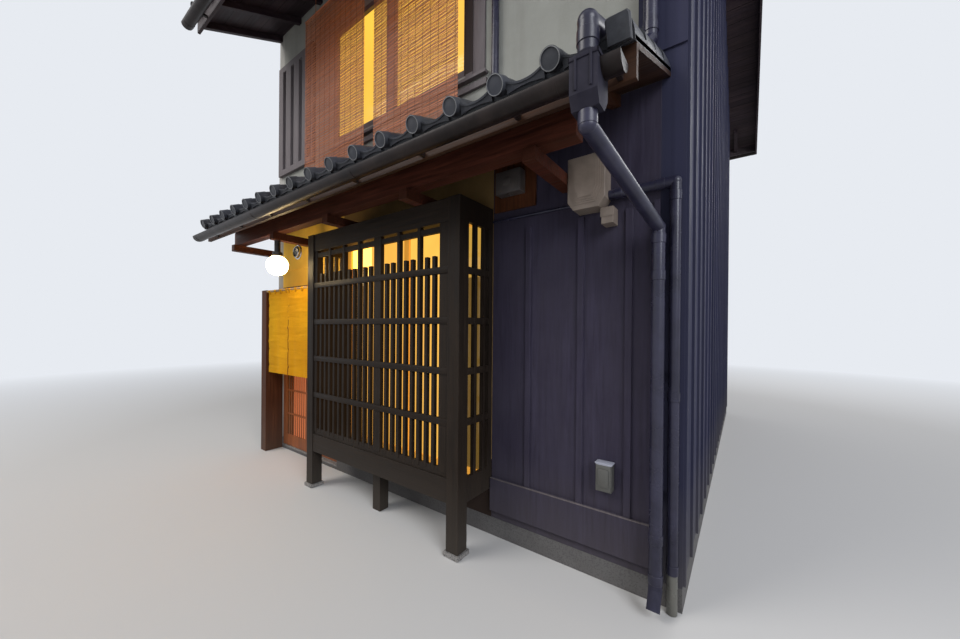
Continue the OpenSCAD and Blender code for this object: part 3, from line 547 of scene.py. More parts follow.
pipeLooks = dict(
    dark=(0.014, 0.0135, 0.028), light=(0.03, 0.029, 0.056), streak=0.35, stain=(0.052, 0.05, 0.072),
    rough=(0.26, 0.46), shine=0.36)
fittingLooks = {
    "gutterBrown": dict(
        dark=(0.009, 0.006, 0.006), light=(0.02, 0.013, 0.012), streak=0.4, stain=(0.045, 0.034, 0.03),
        rough=(0.3, 0.5), shine=0.22),
    "pipeSlate": dict(pipeLooks, matt=(0.16, 0.85)),
    "conduitSlate": dict(pipeLooks, low=((0.21, (0.125, 0.122, 0.108)),)),
    "hopperSlate": dict(
        dark=(0.016, 0.015, 0.024), light=(0.03, 0.028, 0.042), streak=0.35, stain=(0.06, 0.056, 0.066),
        rough=(0.6, 0.8), shine=0.12),
    # painted light on the outlet box: between 0.712 and 1.0 m its lid is painted pale for the light falling
    # on its top, and below 0.712 m its body is painted darker for its shaded sides
    "boxBeige": dict(
        dark=(0.17, 0.135, 0.11), light=(0.24, 0.195, 0.162), streak=0.35, stain=(0.12, 0.1, 0.08),
        rough=(0.35, 0.6), low=((1.0, (0.36, 0.37, 0.44)), (0.712, (0.088, 0.087, 0.08)))),
    "switchGrey": dict(
        dark=(0.05, 0.043, 0.042), light=(0.09, 0.078, 0.074), streak=0.3, stain=(0.04, 0.03, 0.026),
        rough=(0.35, 0.6)),
    "sashBronze": dict(
        dark=(0.07, 0.065, 0.06), light=(0.12, 0.11, 0.1), streak=0.2, stain=(0.2, 0.19, 0.18),
        rough=(0.3, 0.5), metal=0.8),
    "lampMetal": dict(
        dark=(0.03, 0.027, 0.026), light=(0.055, 0.05, 0.047), streak=0.1, stain=(0.1, 0.09, 0.08),
        rough=(0.35, 0.5), metal=0.6),
    "screwPainted": dict(
        dark=(0.024, 0.024, 0.04), light=(0.04, 0.04, 0.062), streak=0.3, stain=(0.05, 0.04, 0.04),
        rough=(0.45, 0.7)),
    "ventSteel": dict(
        dark=(0.45, 0.44, 0.42), light=(0.6, 0.59, 0.56), streak=0.2, stain=(0.25, 0.22, 0.18),
        rough=(0.16, 0.34), metal=1.0),
}
fittings = {name: moulded(name, looks) for name, looks in fittingLooks.items()}


def firedTile(name, s):
    material, tree, shader, place = startMaterial(name)
    tone = addNode(tree, "ShaderNodeAttribute", attribute_name="tone").outputs["Fac"]
    weather = groupNode(tree, "weather", {"Vector": place})
    grit = groupNode(tree, "grit", {"Vector": place, "Scale": 260.0})
    cloud = noise(tree, place, 14.0, 6.0, 0.65)
    colour = mixColour(tree, tone, s["dark"], s["light"])
    # painted highlight: faces with a tone above 1.5, the thin rings on the end discs, take the pale rim
    # colour for the light caught on them
    colour = mixColour(tree, mathNode(tree, "GREATER_THAN", tone, 1.5), colour, s["rim"])
    colour = stained(tree, colour, remap(tree, cloud, 0.4, 0.65), 0.45, s["bloom"])
    colour = stained(tree, colour, weather["Dust"], s["dust"], s["lichen"])
    rough = mathNode(tree, "ADD", remap(tree, tone, 0.0, 1.0, *s["rough"]), times(tree, cloud, 0.15))
    swell = bumpNode(tree, cloud, 0.15, 0.004)
    finishLook(tree, shader, colour, rough, bumpNode(tree, grit["Height"], 0.25, 0.001, swell))
    shader["Specular IOR Level"].default_value = 0.28
    return material


# rim: the pale colour of a painted highlight on the end discs' rims
tileMaterial = firedTile("firedTile", dict(
    dark=(0.018, 0.0195, 0.026), light=(0.046, 0.049, 0.062), bloom=(0.07, 0.074, 0.085), dust=0.3,
    lichen=(0.085, 0.08, 0.07), rough=(0.28, 0.42), rim=(0.26, 0.265, 0.27)))


def reedMaterial(name, s):
    material, tree, shader, place = startMaterial(name)
    tone = addNode(tree, "ShaderNodeAttribute", attribute_name="tone").outputs["Fac"]
    fibre = groupNode(tree, "fibre", {"Vector": stretch(tree, place, (3.0, 60.0, 60.0))})["Fibre"]
    colour = mixColour(tree, tone, s["dark"], s["light"])
    colour = stained(tree, colour, fibre, 0.4, s["fleck"])
    colour = mixColour(tree, mathNode(tree, "GREATER_THAN", tone, 1.5), colour, s["thread"])
    finishLook(tree, shader, colour, remap(tree, fibre, 0.0, 1.0, 0.4, 0.65),
               bumpNode(tree, fibre, 0.2, 0.0006))
    letLightThrough(tree, s["share"], s["through"])
    return material


reeds = reedMaterial("bambooReeds", dict(
    dark=(0.22, 0.056, 0.02), light=(0.52, 0.155, 0.05), fleck=(0.54, 0.19, 0.064),
    thread=(0.05, 0.022, 0.014), through=(0.75, 0.3, 0.08), share=0.12))
poleMaterial = reedMaterial("bambooPole", dict(
    dark=(0.42, 0.28, 0.12), light=(0.6, 0.43, 0.2), fleck=(0.3, 0.19, 0.09), thread=(0.2, 0.12, 0.06),
    through=(0.7, 0.45, 0.2), share=0.05))


def clothMaterial(name, s):
    material, tree, shader, place = startMaterial(name)
    parts = axes(tree, place)
    warp = mathNode(tree, "SINE", times(tree, parts["X"], s["thread"]))
    weft = mathNode(tree, "SINE", times(tree, parts["Z"], s["thread"]))
    weave = remap(tree, times(tree, warp, weft), -1.0, 1.0)
    slubs = noise(tree, stretch(tree, place, (6.0, 6.0, 190.0)), 1.0, 5.0)
    colour = mixColour(tree, remap(tree, noise(tree, place, 4.0, 5.0), 0.3, 0.7), s["dark"], s["light"])
    colour = stained(tree, colour, remap(tree, slubs, 0.45, 0.7), 0.35, s["slub"])
    colour = stained(tree, colour, weave, 0.18, s["dark"])
    # painted shade: thin dark lines stand for the shadows in the cloth's creases
    creaseShadeNoise = noise(tree, stretch(tree, place, (2.2, 2.2, 13.0)), 1.0, 3.0)
    fold = remap(tree, mathNode(tree, "PINGPONG", times(tree, creaseShadeNoise, 9.0), 0.5), 0.09, 0.0)
    colour = stained(tree, colour, fold, 0.5, s["slub"])
    finishLook(tree, shader, colour, remap(tree, slubs, 0.3, 0.7, 0.75, 0.95),
               bumpNode(tree, weave, 0.35, 0.0005, bumpNode(tree, slubs, 0.3, 0.0008)))
    shader["Sheen Weight"].default_value = 0.04
    shader["Specular IOR Level"].default_value = 0.08
    letLightThrough(tree, 0.35, s["through"])
    return material


linen = clothMaterial("linen", dict(
    thread=4200.0, dark=(0.72, 0.37, 0.008), light=(0.93, 0.54, 0.014), slub=(0.58, 0.28, 0.008),
    through=(1.0, 0.62, 0.02)))


def litPane(name, s):
    # a pane with the lit room behind it: uneven warm light under a clear surface
    material, tree, shader, place = startMaterial(name)
    parts = axes(tree, place)

    def past(axis, at):
        return mathNode(tree, "GREATER_THAN", parts[axis], at)

    def before(axis, at):
        return mathNode(tree, "LESS_THAN", parts[axis], at)

    def weakened(strength, mask, factor):
        return times(tree, strength, remap(tree, mask, 0.0, 1.0, 1.0, factor))

    colour = mixColour(tree, remap(tree, parts["X"], *s["across"]), s["left"], s["right"])
    cloud = noise(tree, place, s["cloud"], 3.0)
    colour = stained(tree, colour, remap(tree, cloud, 0.35, 0.7), s["cloudShare"], s["shade"])
    rise = remap(tree, parts["Z"], *s["upward"], s["lowShare"], 1.0)
    strength = times(tree, rise, s["strength"])
    if s.get("leaf"):
        # the fixed door leaf shares this node and shows the redder light of the hall
        x1, leafColour, factor = s["leaf"]
        colour = mixColour(tree, before("X", x1), colour, leafColour)
        strength = weakened(strength, before("X", x1), factor)
    if s.get("hot"):
        # the light of the room is strongest here
        x0, x1, z0, factor = s["hot"]
        near = times(tree, times(tree, past("X", x0), before("X", x1)), past("Z", z0))
        strength = weakened(strength, near, factor)
    if s.get("dark"):
        strength = times(tree, strength, past("X", s["dark"]))
    # painted shade: past x0 the pane's light is weakened, most of all below z1, where the lattice bars shade
    # it
    if s.get("barShade"):
        x0, z1, lowFactor, highFactor = s["barShade"]
        strength = weakened(strength, times(tree, past("X", x0), before("Z", z1)), lowFactor)
        strength = weakened(strength, times(tree, past("X", x0), past("Z", z1)), highFactor)
    shader["Base Color"].default_value = (0.12, 0.09, 0.06, 1.0)
    shader["Roughness"].default_value = 0.08
    tree.links.new(colour, shader["Emission Color"])
    tree.links.new(strength, shader["Emission Strength"])
    tree.links.new(bumpNode(tree, noise(tree, place, 3.0, 1.0), 0.05, 0.002), shader["Normal"])
    return material


def darkPane(name, s):
    material, tree, shader, place = startMaterial(name)
    cloud = noise(tree, place, s["cloud"], 5.0)
    waves = bumpNode(tree, noise(tree, place, s["wave"], 1.0), 0.06, 0.003)
    finishLook(tree, shader, mixColour(tree, cloud, s["dark"], s["light"]),
               remap(tree, cloud, 0.3, 0.7, *s["rough"]), waves)
    return material


paneLooks = {
    "bayPane": dict(
        across=(-0.78, 0.95), left=(0.95, 0.44, 0.07), right=(1.0, 0.6, 0.1), cloud=2.6, cloudShare=0.35,
        shade=(0.8, 0.28, 0.03), upward=(0.5, 2.1), lowShare=0.8, strength=1.15,
        # barShade: painted shade of the lattice bars on the right end of the pane
        hot=(-1.0, -0.42, 1.95, 4.1), barShade=(0.56, 1.9, 0.13, 0.5), leaf=(-0.94, (1.0, 0.27, 0.1), 0.7)),
    "upperPane": dict(
        across=(-1.03, 0.79), left=(0.97, 0.6, 0.06), right=(1.0, 0.6, 0.09), cloud=1.2, cloudShare=0.4,
        shade=(0.9, 0.38, 0.04), upward=(3.3, 4.6), lowShare=0.8, strength=1.2),
    "doorPane": dict(
        across=(-2.1, -0.9), left=(1.0, 0.27, 0.1), right=(1.0, 0.33, 0.13), cloud=2.0, cloudShare=0.25,
        shade=(0.85, 0.22, 0.08), upward=(0.1, 1.9), lowShare=0.75, strength=0.8, dark=-1.9),
}
panes = {name: litPane(name, looks) for name, looks in paneLooks.items()}
rearPane = darkPane("darkPane", dict(
    dark=(0.02, 0.024, 0.028), light=(0.06, 0.066, 0.07), cloud=5.0, wave=2.5, rough=(0.04, 0.12)))


def opalGlobe(name, s):
    material, tree, shader, place = startMaterial(name)
    weight = addNode(tree, "ShaderNodeLayerWeight", {"Blend": 0.35}).outputs["Facing"]
    cloud = noise(tree, place, 18.0, 3.0)
    colour = mixColour(tree, weight, s["middle"], s["rim"])
    colour = stained(tree, colour, cloud, 0.1, s["cloud"])
    tree.links.new(colour, shader["Emission Color"])
    tree.links.new(bumpNode(tree, cloud, 0.03, 0.002), shader["Normal"])
    shader["Emission Strength"].default_value = s["strength"]
    shader["Base Color"].default_value = (*s["glass"], 1.0)
    shader["Roughness"].default_value = s["rough"]
    return material


globeMaterial = opalGlobe("opalGlobe", dict(
    middle=(1.0, 0.78, 0.42), rim=(1.0, 0.6, 0.22), cloud=(1.0, 0.74, 0.38), glass=(0.85, 0.82, 0.74),
    rough=0.25, strength=26.0))
print("materials made")

# a finish for each part of the frame

nodeLooks = (
    (stones["concrete"], ("footing",)),
    (stones["granite"], ("post_stones", "door_sill")),
    (stones["partyPlaster"], ("party_wall",)),
    (stones["paintedShadePlaster"], ("bay_back_wall",)),
    (stones["lampLitPlaster"], ("entrance_lintel",)),
    (stones["upperPlaster"], ("upper_front_wall",)),
    (metals["sideSiding"], ("side_wall",)),
    (metals["rearSiding"], ("rear_wall",)),
    (fittings["sashBronze"], ("rear_window_frames",)),
    (fittings["lampMetal"], ("lamp_holder",)),
    (fittings["gutterBrown"], ("pent_gutter", "main_gutters")),
    (fittings["hopperSlate"], ("hopper_head",)),
    (fittings["pipeSlate"], ("cross_pipe", "downpipe")),
    (fittings["conduitSlate"], ("wall_pipes",)),
    (fittings["boxBeige"], ("electric_boxes",)),
    (woods["floorBoards"], ("upper_floor",)),
    (woods["litTimber"], ("bay_window_frame",)),
    (woods["darkTimberUpright"], ("bay_posts", "bay_lattice_front", "bay_lattice_sides")),
    (woods["darkTimberAlong"], ("bay_rails",)),
    (woods["brownTimberUpright"], ("entrance_posts",)),
    (woods["brownTimberAlong"], ("door_head",)),
    (woods["leafTimber"], ("entrance_door", "side_leaf")),
    (woods["redBeam"], ("eave_beam",)),
    (woods["brownRafter"], ("pent_rafters",)),
    (woods["pentBoards"], ("pent_roof_boards",)),
    (woods["meterBoard"], ("meter_board",)),
    (woods["sashTimber"], ("upper_window_frame",)),
    (woods["paleBoards"], ("upper_lattice",)),
    (woods["panelBoards"], ("panel_wall",)),
    (woods["soffitRafter"], ("eave_rafters_front", "eave_rafters_rear")),
    (woods["soffitBoards"], ("main_roof_boards",)),
    (woods["bargeBoard"], ("barge_boards",)),
    (poleMaterial, ("noren_rod",)),
    (globeMaterial, ("globe_lamp",)),
    (rearPane, ("rear_glass",)),
    (panes["bayPane"], ("lower_front_glass",)),
    (panes["upperPane"], ("upper_front_glass",)),
    (panes["doorPane"], ("entrance_door_glass",)),
    (tileMaterial, ("pent_roof_tiles", "main_roof_tiles", "ridge_tiles")),
    (reeds, ("blinds",)),
    (linen, ("noren",)),
)
finished = set()
for material, nodeNames in nodeLooks:
    for nodeName in nodeNames:
        mesh = frame["nodes"][nodeName].data
        mesh.materials.clear()
        mesh.materials.append(material)
        finished.add(nodeName)
print("nodes with a material:", len(finished), "without:", sorted(set(frame["nodes"]) - finished))

# eased corners on the frame's timbers, boxes and stones

easing = (
    (0.003, ("bay_posts", "bay_rails", "bay_lattice_front", "bay_lattice_sides", "entrance_posts",
             "door_head", "entrance_door", "side_leaf", "eave_beam", "pent_rafters", "barge_boards",
             "electric_boxes", "meter_board", "eave_rafters_front", "upper_lattice", "panel_wall")),
    (0.009, ("post_stones", "door_sill")),
)
for width, nodeNames in easing:
    for nodeName in nodeNames:
        obj = frame["nodes"][nodeName]
        weld = obj.modifiers.new("weld", "WELD")
        weld.merge_threshold = 0.00002
        bevel = obj.modifiers.new("ease", "BEVEL")
        bevel.width = width
        bevel.segments = 2
        bevel.limit_method = "ANGLE"
        bevel.angle_limit = math.radians(50)
        bevel.use_clamp_overlap = True

# roof tiles


def slopeFrame(origin, angle, facing):
    # facing 1: the slope rises towards +Y; -1: it rises towards -Y and runs along X the other way
    along = Vector((facing, 0, 0))
    up = Vector((0, facing * math.cos(angle), math.sin(angle)))
    out = Vector((0, -facing * math.sin(angle), math.cos(angle)))
    return lambda u, v, w: origin + along * u + up * v + out * w


tileShape = dict(
    panLow=0.034, panHigh=0.054, panCurve=2.2, roll=0.046, rollTop=0.098, thick=0.015, lift=0.013, lap=0.03,
    halfGap=0.0015, panPoints=4, rollSteps=8, nose=0.012, taper=0.95, wobble=0.0016, settle=0.0022,
    discAt=0.054, discLong=0.04, discSides=24, bed=0.024, long=0.235, edgeGap=0.001)
# radius as a share of the roll, and distance back from the disc's face
discTurned = ((0.97, 0.07), (0.97, 0.008), (1.0, 0.007), (1.0, 0.0015), (0.965, 0.0), (0.86, 0.0),
              (0.82, 0.0045), (0.5, 0.0042), (0.25, 0.0026))
discRim = ((0.955, 0.0008), (0.945, -0.0006), (0.875, -0.0006), (0.86, 0.0012))
highlightTone = 2.0


def panHeight(away, reach):
    # away: distance from the middle of the pan, which is hollow like a shallow dish
    t = min(1.0, away / reach)
    return tileShape["panLow"] + (tileShape["panHigh"] - tileShape["panLow"]) * t ** tileShape["panCurve"]


def tileProfile(pitch):
    t = tileShape
    reach = pitch / 2 - t["roll"]
    line = []
    for i in range(t["panPoints"]):
        u = -pitch / 2 + t["halfGap"] + i * (reach - t["halfGap"]) / t["panPoints"]
        line.append((u, panHeight(pitch / 2 + u, reach)))
    for i in range(t["rollSteps"] + 1):
        a = math.pi - i * math.pi / t["rollSteps"]
        line.append((t["roll"] * math.cos(a), t["rollTop"] - t["roll"] + t["roll"] * math.sin(a)))
    line += [(-u, w) for u, w in reversed(line[:t["panPoints"]])]
    return line


def tileCourses(strips, spot, limits, first, count, pitch, length):
    t = tileShape
    line = tileProfile(pitch)
    low, high = limits
    courses = max(1, round(length / t["long"]))
    step = length / courses
    for c in range(courses):
        v0 = c * step
        v1 = min(length, v0 + step + t["lap"])
        for i in range(count):
            middle = first + i * pitch
            wobble = rng.uniform(-t["wobble"], t["wobble"])
            rise = rng.uniform(-t["settle"], 0.0)
            tone = rng.random()
            stations = [(v0, 0.0, 1.0), (v0 + t["nose"], -0.0005, 1.0), (v1, -t["lift"], t["taper"])]
            outer, inner = [], []
            for v, drop, k in stations:
                across = [(min(high, max(low, middle + u * k + wobble)), w + drop + rise) for u, w in line]
                outer.append([spot(u, v, w) for u, w in across])
                inner.append([spot(u, v, w - t["thick"]) for u, w in across])
            strips.ribbon(outer, inner, tone)


def endDisc(strips, spot, middle):
    t = tileShape

    def ring(share, back):
        return [spot(middle + share * t["roll"] * math.cos(a), back - t["discLong"],
                     t["discAt"] + share * t["roll"] * math.sin(a)) for a in circle(t["discSides"])]

    strips.loft([ring(*turned) for turned in discTurned], rng.random())
    # painted highlight: the thin ring on the disc takes the pale rim colour
    strips.loft([ring(*turned) for turned in discRim], highlightTone, capped=False)


def panFront(strips, spot, left, right, pitch, outerEdge=None):
    # the curved lip that closes one pan at the eave, left and right being the faces of the rolls beside it;
    # at a verge the pan is cut off, and outerEdge is the side where it ends
    reach = pitch / 2 - tileShape["roll"]
    tone = rng.random()
    centre = (left + right) / 2
    points = 11
    top, low = [], []
    for i in range(points):
        u = left + (right - left) * i / (points - 1)
        away = abs(u - (centre if outerEdge is None else outerEdge))
        top.append((u, panHeight(min(reach, away), reach)))
        low.append((u, 0.004 + 0.010 * (1 - min(1.0, abs(u - centre) / ((right - left) / 2)) ** 2)))
    lip = [[[spot(u, v, w) for u, w in line] for line in (top, low)] for v in (-0.012, 0.014)]
    strips.ribbon(*lip, tone)
    brow = [[[spot(u, v, w + up) for u, w in top] for up in (0.001, -0.008)] for v in (-0.017, -0.008)]
    strips.ribbon(*brow, min(1.0, tone + 0.35))


def vergeSkirts(strips, spot, x, inward, length):
    # stepped side plates that close the tiles' ends at a verge
    courses = max(1, round(length / tileShape["long"]))
    step = length / courses
    for c in range(courses):
        tone = rng.random()
        rings = []
        for v, rise in ((c * step, 0.006), (min(length, (c + 1) * step + 0.012), -0.004)):
            top = tileShape["panLow"] + rise
            plate = ((x, 0.002), (x, top), (x + inward * 0.02, top + 0.003), (x + inward * 0.02, 0.002))
            rings.append([spot(u, v, w) for u, w in plate])
        strips.loft(rings, tone)


def cornerPlate(strips, spot, middle, side):
    # the squared front of the corner tile, which hides the last roll's end
    t = tileShape
    left, right, low, high = middle - t["roll"] * 0.98, side - 0.004, 0.002, t["rollTop"] - 0.004
    corner = 0.008
    outline = [(left, low), (right, low), (right, high - corner), (right - corner, high),
               (left + corner, high), (left, high - corner)]
    middleU, middleW = (left + right) / 2, (low + high) / 2
    rings = []
    for v, inset in ((-0.012, 0.0), (-t["discLong"] + 0.004, 0.0), (-t["discLong"], 0.003)):
        rings.append([spot(u + (inset if u < middleU else -inset), v, w + (inset if w < middleW else -inset))
                      for u, w in outline])
    strips.loft(rings, 0.0)


def tileField(strips, origin, angle, facing, x0, width, first, count, pitch, length, plated=False):
    spot = slopeFrame(origin, angle, facing)
    t = tileShape
    bed = ((x0, 0.0), (x0 + width, 0.0), (x0 + width, t["bed"] - 0.004), (x0, t["bed"] - 0.004))
    strips.loft([[spot(u, v, w) for u, w in bed] for v in (0.003, length)], 0.2)
    left, right = x0 + t["edgeGap"], x0 + width - t["edgeGap"]
    tileCourses(strips, spot, (left, right), first, count, pitch, length)
    rolls = [first + i * pitch for i in range(count)]
    for middle in rolls:
        if plated and middle == rolls[-1]:
            cornerPlate(strips, spot, middle, x0 + width - 0.0015)
        else:
            endDisc(strips, spot, middle)
    beside = t["roll"] * 0.9
    for a, b in zip(rolls, rolls[1:]):
        panFront(strips, spot, a + beside, b - beside, pitch)
    if rolls[0] - x0 > t["roll"] * 1.2:
        panFront(strips, spot, left, rolls[0] - beside, pitch, outerEdge=left)
    if x0 + width - rolls[-1] > t["roll"] * 1.2:
        panFront(strips, spot, rolls[-1] + beside, right, pitch, outerEdge=right)
    vergeSkirts(strips, spot, x0, 1, length)
    vergeSkirts(strips, spot, x0 + width, -1, length)


pent = dict(pitch=0.268, count=17, out=0.760, tileOut=0.020, lowZ=2.553, slope=0.42, deck=0.024,
            seat=0.0003, x0=-4.5, width=4.422, lastRoll=-0.125)
pentAngle = math.atan(pent["slope"])
pentRise = pent["deck"] + pent["seat"] - pent["tileOut"] * pent["slope"]
pentOrigin = row(0, -pent["out"] - pent["tileOut"], pent["lowZ"] + pentRise)
pentFirst = pent["lastRoll"] - (pent["count"] - 1) * pent["pitch"]
pentTiles = Strips()
tileField(pentTiles, pentOrigin, pentAngle, 1, pent["x0"], pent["width"], pentFirst, pent["count"],
          pent["pitch"], (pent["out"] + pent["tileOut"]) / math.cos(pentAngle), plated=True)
pentRoof = pentTiles.build("pent_tile_courses", "house", tileMaterial)
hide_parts("pent_roof_tiles")

main = dict(pitch=4.91 / 18, count=18, eave=0.87, rear=0.45, tileOut=0.02, slope=0.45, deck=0.024,
            wallTop=5.17, depth=5.9, x0=-4.5, width=4.91, tileHigh=0.098, ridgeWide=0.24)
mainAngle = math.atan(main["slope"])
run = main["depth"] / 2 + main["tileOut"] - main["ridgeWide"] / 2 + main["tileHigh"] * math.sin(mainAngle)


def mainLine(y):
    return main["wallTop"] + main["slope"] * min(y, main["depth"] - y)


mainTiles = Strips()
for facing, out, x, y in ((1, main["eave"], 0, -main["eave"] - main["tileOut"]),
                          (-1, main["rear"], 2 * main["x0"] + main["width"],
                           main["depth"] + main["rear"] + main["tileOut"])):
    origin = row(x, y, mainLine(-out - main["tileOut"]) + main["deck"])
    tileField(mainTiles, origin, mainAngle, facing, main["x0"], main["width"], main["x0"] + main["pitch"] / 2,
              main["count"], main["pitch"], (run + out) / math.cos(mainAngle))
mainRoof = mainTiles.build("main_tile_courses", "house", tileMaterial)
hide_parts("main_roof_tiles")

# the ridge: lapped flat courses under a row of round caps

ridge = dict(low=6.5752, top=6.8215, x0=-4.5, x1=0.41, courses=5, high=0.036, wide=0.120, stepIn=0.0055,
             long=0.303, halfGap=0.0012, capRadius=0.060, capLong=0.245, y=2.95, base=6.5215)
ridgeStrips = Strips()
span = ridge["x1"] - ridge["x0"]


def ridgeRing(x, outline):
    return [row(x, ridge["y"] + dy, z) for dy, z in outline]


wide, low = ridge["wide"], ridge["low"]
core = [(-wide + 0.014, low + 0.001), (-wide + 0.03, low + 0.19), (wide - 0.03, low + 0.19),
        (wide - 0.014, low + 0.001), (0.03, low + 0.001), (0.0, ridge["base"] + 0.001), (-0.03, low + 0.001)]
ridgeStrips.loft([ridgeRing(x, core) for x in (ridge["x0"] + 0.004, ridge["x1"] - 0.004)], 0.15)
pieces = round(span / ridge["long"])
step = span / pieces
for k in range(ridge["courses"]):
    z0 = low + k * ridge["high"]
    wide = ridge["wide"] - k * ridge["stepIn"]
    for j in range(pieces):
        # every other course is shifted by half a piece
        x0 = ridge["x0"] + j * step + ridge["halfGap"] + (step / 2 if k % 2 and j > 0 else 0.0)
        x1 = ridge["x0"] + (j + 1) * step - ridge["halfGap"] + (step / 2 if k % 2 and j < pieces - 1 else 0.0)
        outline = [(-wide, z0 + 0.004), (-wide, z0 + 0.022), (-wide + 0.004, z0 + 0.026),
                   (0.0, z0 + ridge["high"] + 0.003), (wide - 0.004, z0 + 0.026), (wide, z0 + 0.022),
                   (wide, z0 + 0.004), (0.0, z0 + 0.016)]
        ridgeStrips.loft([ridgeRing(x, outline) for x in (x0, x1)], rng.random())
capCount = round(span / ridge["capLong"])
capStep = span / capCount
capAt = ridge["top"] - ridge["capRadius"]
for j in range(capCount):
    x0 = ridge["x0"] + j * capStep
    rings = []
    for x, k in ((x0, 0.93), (x0 + capStep * 0.8, 0.95), (x0 + capStep * 0.82, 1.0), (x0 + capStep, 1.0)):
        r = ridge["capRadius"] * k
        arc = [(-r * math.cos(a), capAt + r * math.sin(a)) for a in (math.pi * i / 12 for i in range(13))]
        rings.append(ridgeRing(x, [(-r, capAt - 0.026)] + arc + [(r, capAt - 0.026)]))
    ridgeStrips.loft(rings, rng.random())
# radius, and place inwards from the end of the ridge
endCap = ((0.058, 0.03), (0.0595, 0.012), (0.0595, 0.001), (0.054, 0.0), (0.048, 0.0), (0.045, 0.006),
          (0.02, 0.004))
for x, facing in ((ridge["x0"], 1), (ridge["x1"], -1)):
    rings = []
    for radius, inward in endCap:
        disc = [(radius * math.cos(a), capAt - 0.002 + radius * math.sin(a)) for a in circle(28)]
        rings.append(ridgeRing(x + facing * inward, disc))
    ridgeStrips.loft(rings, 0.6)
ridgePiece = ridgeStrips.build("ridge_courses", "house", tileMaterial)
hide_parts("ridge_tiles")

# blinds: uneven split reeds, tied by pairs of threads, between two poles and hung on two cords

blind = dict(
    pitch=0.0058, thick=0.0044, deep=0.0022, bunch=0.0019, bunchLong=0.029, low=3.100, high=4.860, y=-0.130,
    spans=((-2.452, -1.460), (-3.6435, -2.587)), margin=0.03, firstReed=0.018, inset=0.003, bends=16,
    uneven=0.0016, slip=0.002, sag=0.0006, threads=12, threadHalf=(0.0006, 0.0005), threadOff=0.0026,
    threadWave=0.0012, threadEnd=0.012, poleDeep=0.0056, poleHigh=0.0072, poleIn=0.0075,
    cordShares=(0.2, 0.8), cordRadius=0.0026, cordTwist=0.9, stations=24)
threadTone = 2.0
blindStrips = Strips()
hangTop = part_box("blinds")[1].z


def reed(x0, x1, z, around, tone):
    rings = []
    for b in range(blind["bends"] + 1):
        x = x0 + (x1 - x0) * b / blind["bends"]
        swing = 1.9 * math.sin(x * 7.3 + z * 2.0) + 1.4 * math.sin(x * 19.0 + z * 5.0)
        sag = rng.uniform(-blind["sag"], blind["sag"])
        sag += blind["bunch"] * math.sin(fullTurn * z / blind["bunchLong"] + swing)
        rings.append([row(x, blind["y"] + blind["deep"] / 2 * math.cos(a),
                          z + sag + blind["thick"] / 2 * math.sin(a)) for a in around])
    blindStrips.loft(rings, tone)


for x0, x1 in blind["spans"]:
    reedCount = int((blind["high"] - blind["low"] - blind["margin"]) / blind["pitch"])
    for i in range(reedCount):
        z = blind["low"] + blind["firstReed"] + i * blind["pitch"]
        z += rng.uniform(-blind["uneven"], blind["uneven"])
        shift = rng.uniform(-blind["slip"], blind["slip"])
        tone = rng.random() ** 1.4
        around = circle(5, rng.uniform(0, 1))
        reed(x0 + blind["inset"] + shift, x1 - blind["inset"] + shift, z, around, tone)
    for i in range(blind["threads"]):
        x = x0 + blind["margin"] + (x1 - x0 - 2 * blind["margin"]) * i / (blind["threads"] - 1)
        wide, deep = blind["threadHalf"]
        section = ((-wide, -deep), (wide, -deep), (wide, deep), (-wide, deep))
        for side in (-1, 1):
            y = blind["y"] + side * blind["threadOff"]
            z0, z1 = blind["low"] + blind["threadEnd"], blind["high"] - blind["threadEnd"]
            rings = []
            for k in range(blind["stations"] + 1):
                z = z0 + (z1 - z0) * k / blind["stations"]
                dx = blind["threadWave"] * math.sin(k * 2.4)
                rings.append([row(x + dx + a, y + b, z) for a, b in section])
            blindStrips.loft(rings, threadTone)
    for z in (blind["low"] + blind["poleIn"], blind["high"] - blind["poleIn"]):
        rings = []
        for x, k in ((x0, 0.8), (x0 + 0.002, 1.0), (x1 - 0.002, 1.0), (x1, 0.8)):
            rings.append([row(x, blind["y"] + blind["poleDeep"] * k * math.cos(a),
                              z + blind["poleHigh"] * k * math.sin(a)) for a in circle(12)])
        blindStrips.loft(rings, 0.8)
    for share in blind["cordShares"]:
        x = x0 + (x1 - x0) * share
        rings = []
        for k in range(blind["stations"] + 1):
            z = blind["high"] - 0.01 + (hangTop - blind["high"] + 0.01) * k / blind["stations"]
            rings.append([row(x + blind["cordRadius"] * math.cos(a + k * blind["cordTwist"]),
                              blind["y"] + blind["cordRadius"] * math.sin(a + k * blind["cordTwist"]), z)
                          for a in circle(6)])
        blindStrips.loft(rings, 0.7)
blindPiece = blindStrips.build("reed_blinds", "house", reeds, angle=65)
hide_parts("blinds")

# noren: two cloths side by side on the rod, with tabs, stitched hems and a short seam between them

norenSet = dict(
    spans=((-4.338, -3.870), (-3.860, -3.392)), top=1.9195, low=0.965, y=-0.187, across=48, down=110,
    fold=0.0042, creaseDeep=0.0068, creaseWide=0.016, hem=0.0012, hemFrom=0.965,
    creases=(0.09, 0.17, 0.26, 0.33, 0.43, 0.52, 0.60, 0.71, 0.79, 0.90), seeds=(0.17, 0.58),
    tabs=4, tabWide=0.05, tabLong=0.03, tabThick=0.0012, tabOff=0.0022, rodZ=1.932, rodR=0.012, rodGap=0.0015,
    stitches=52, stitchLong=0.005, hemStitches=0.03, topStitches=0.032, seamLong=0.33, seamStitches=30,
    seamX=(-3.8725, -3.8575), seamHalf=0.0010, seamGap=0.0004)


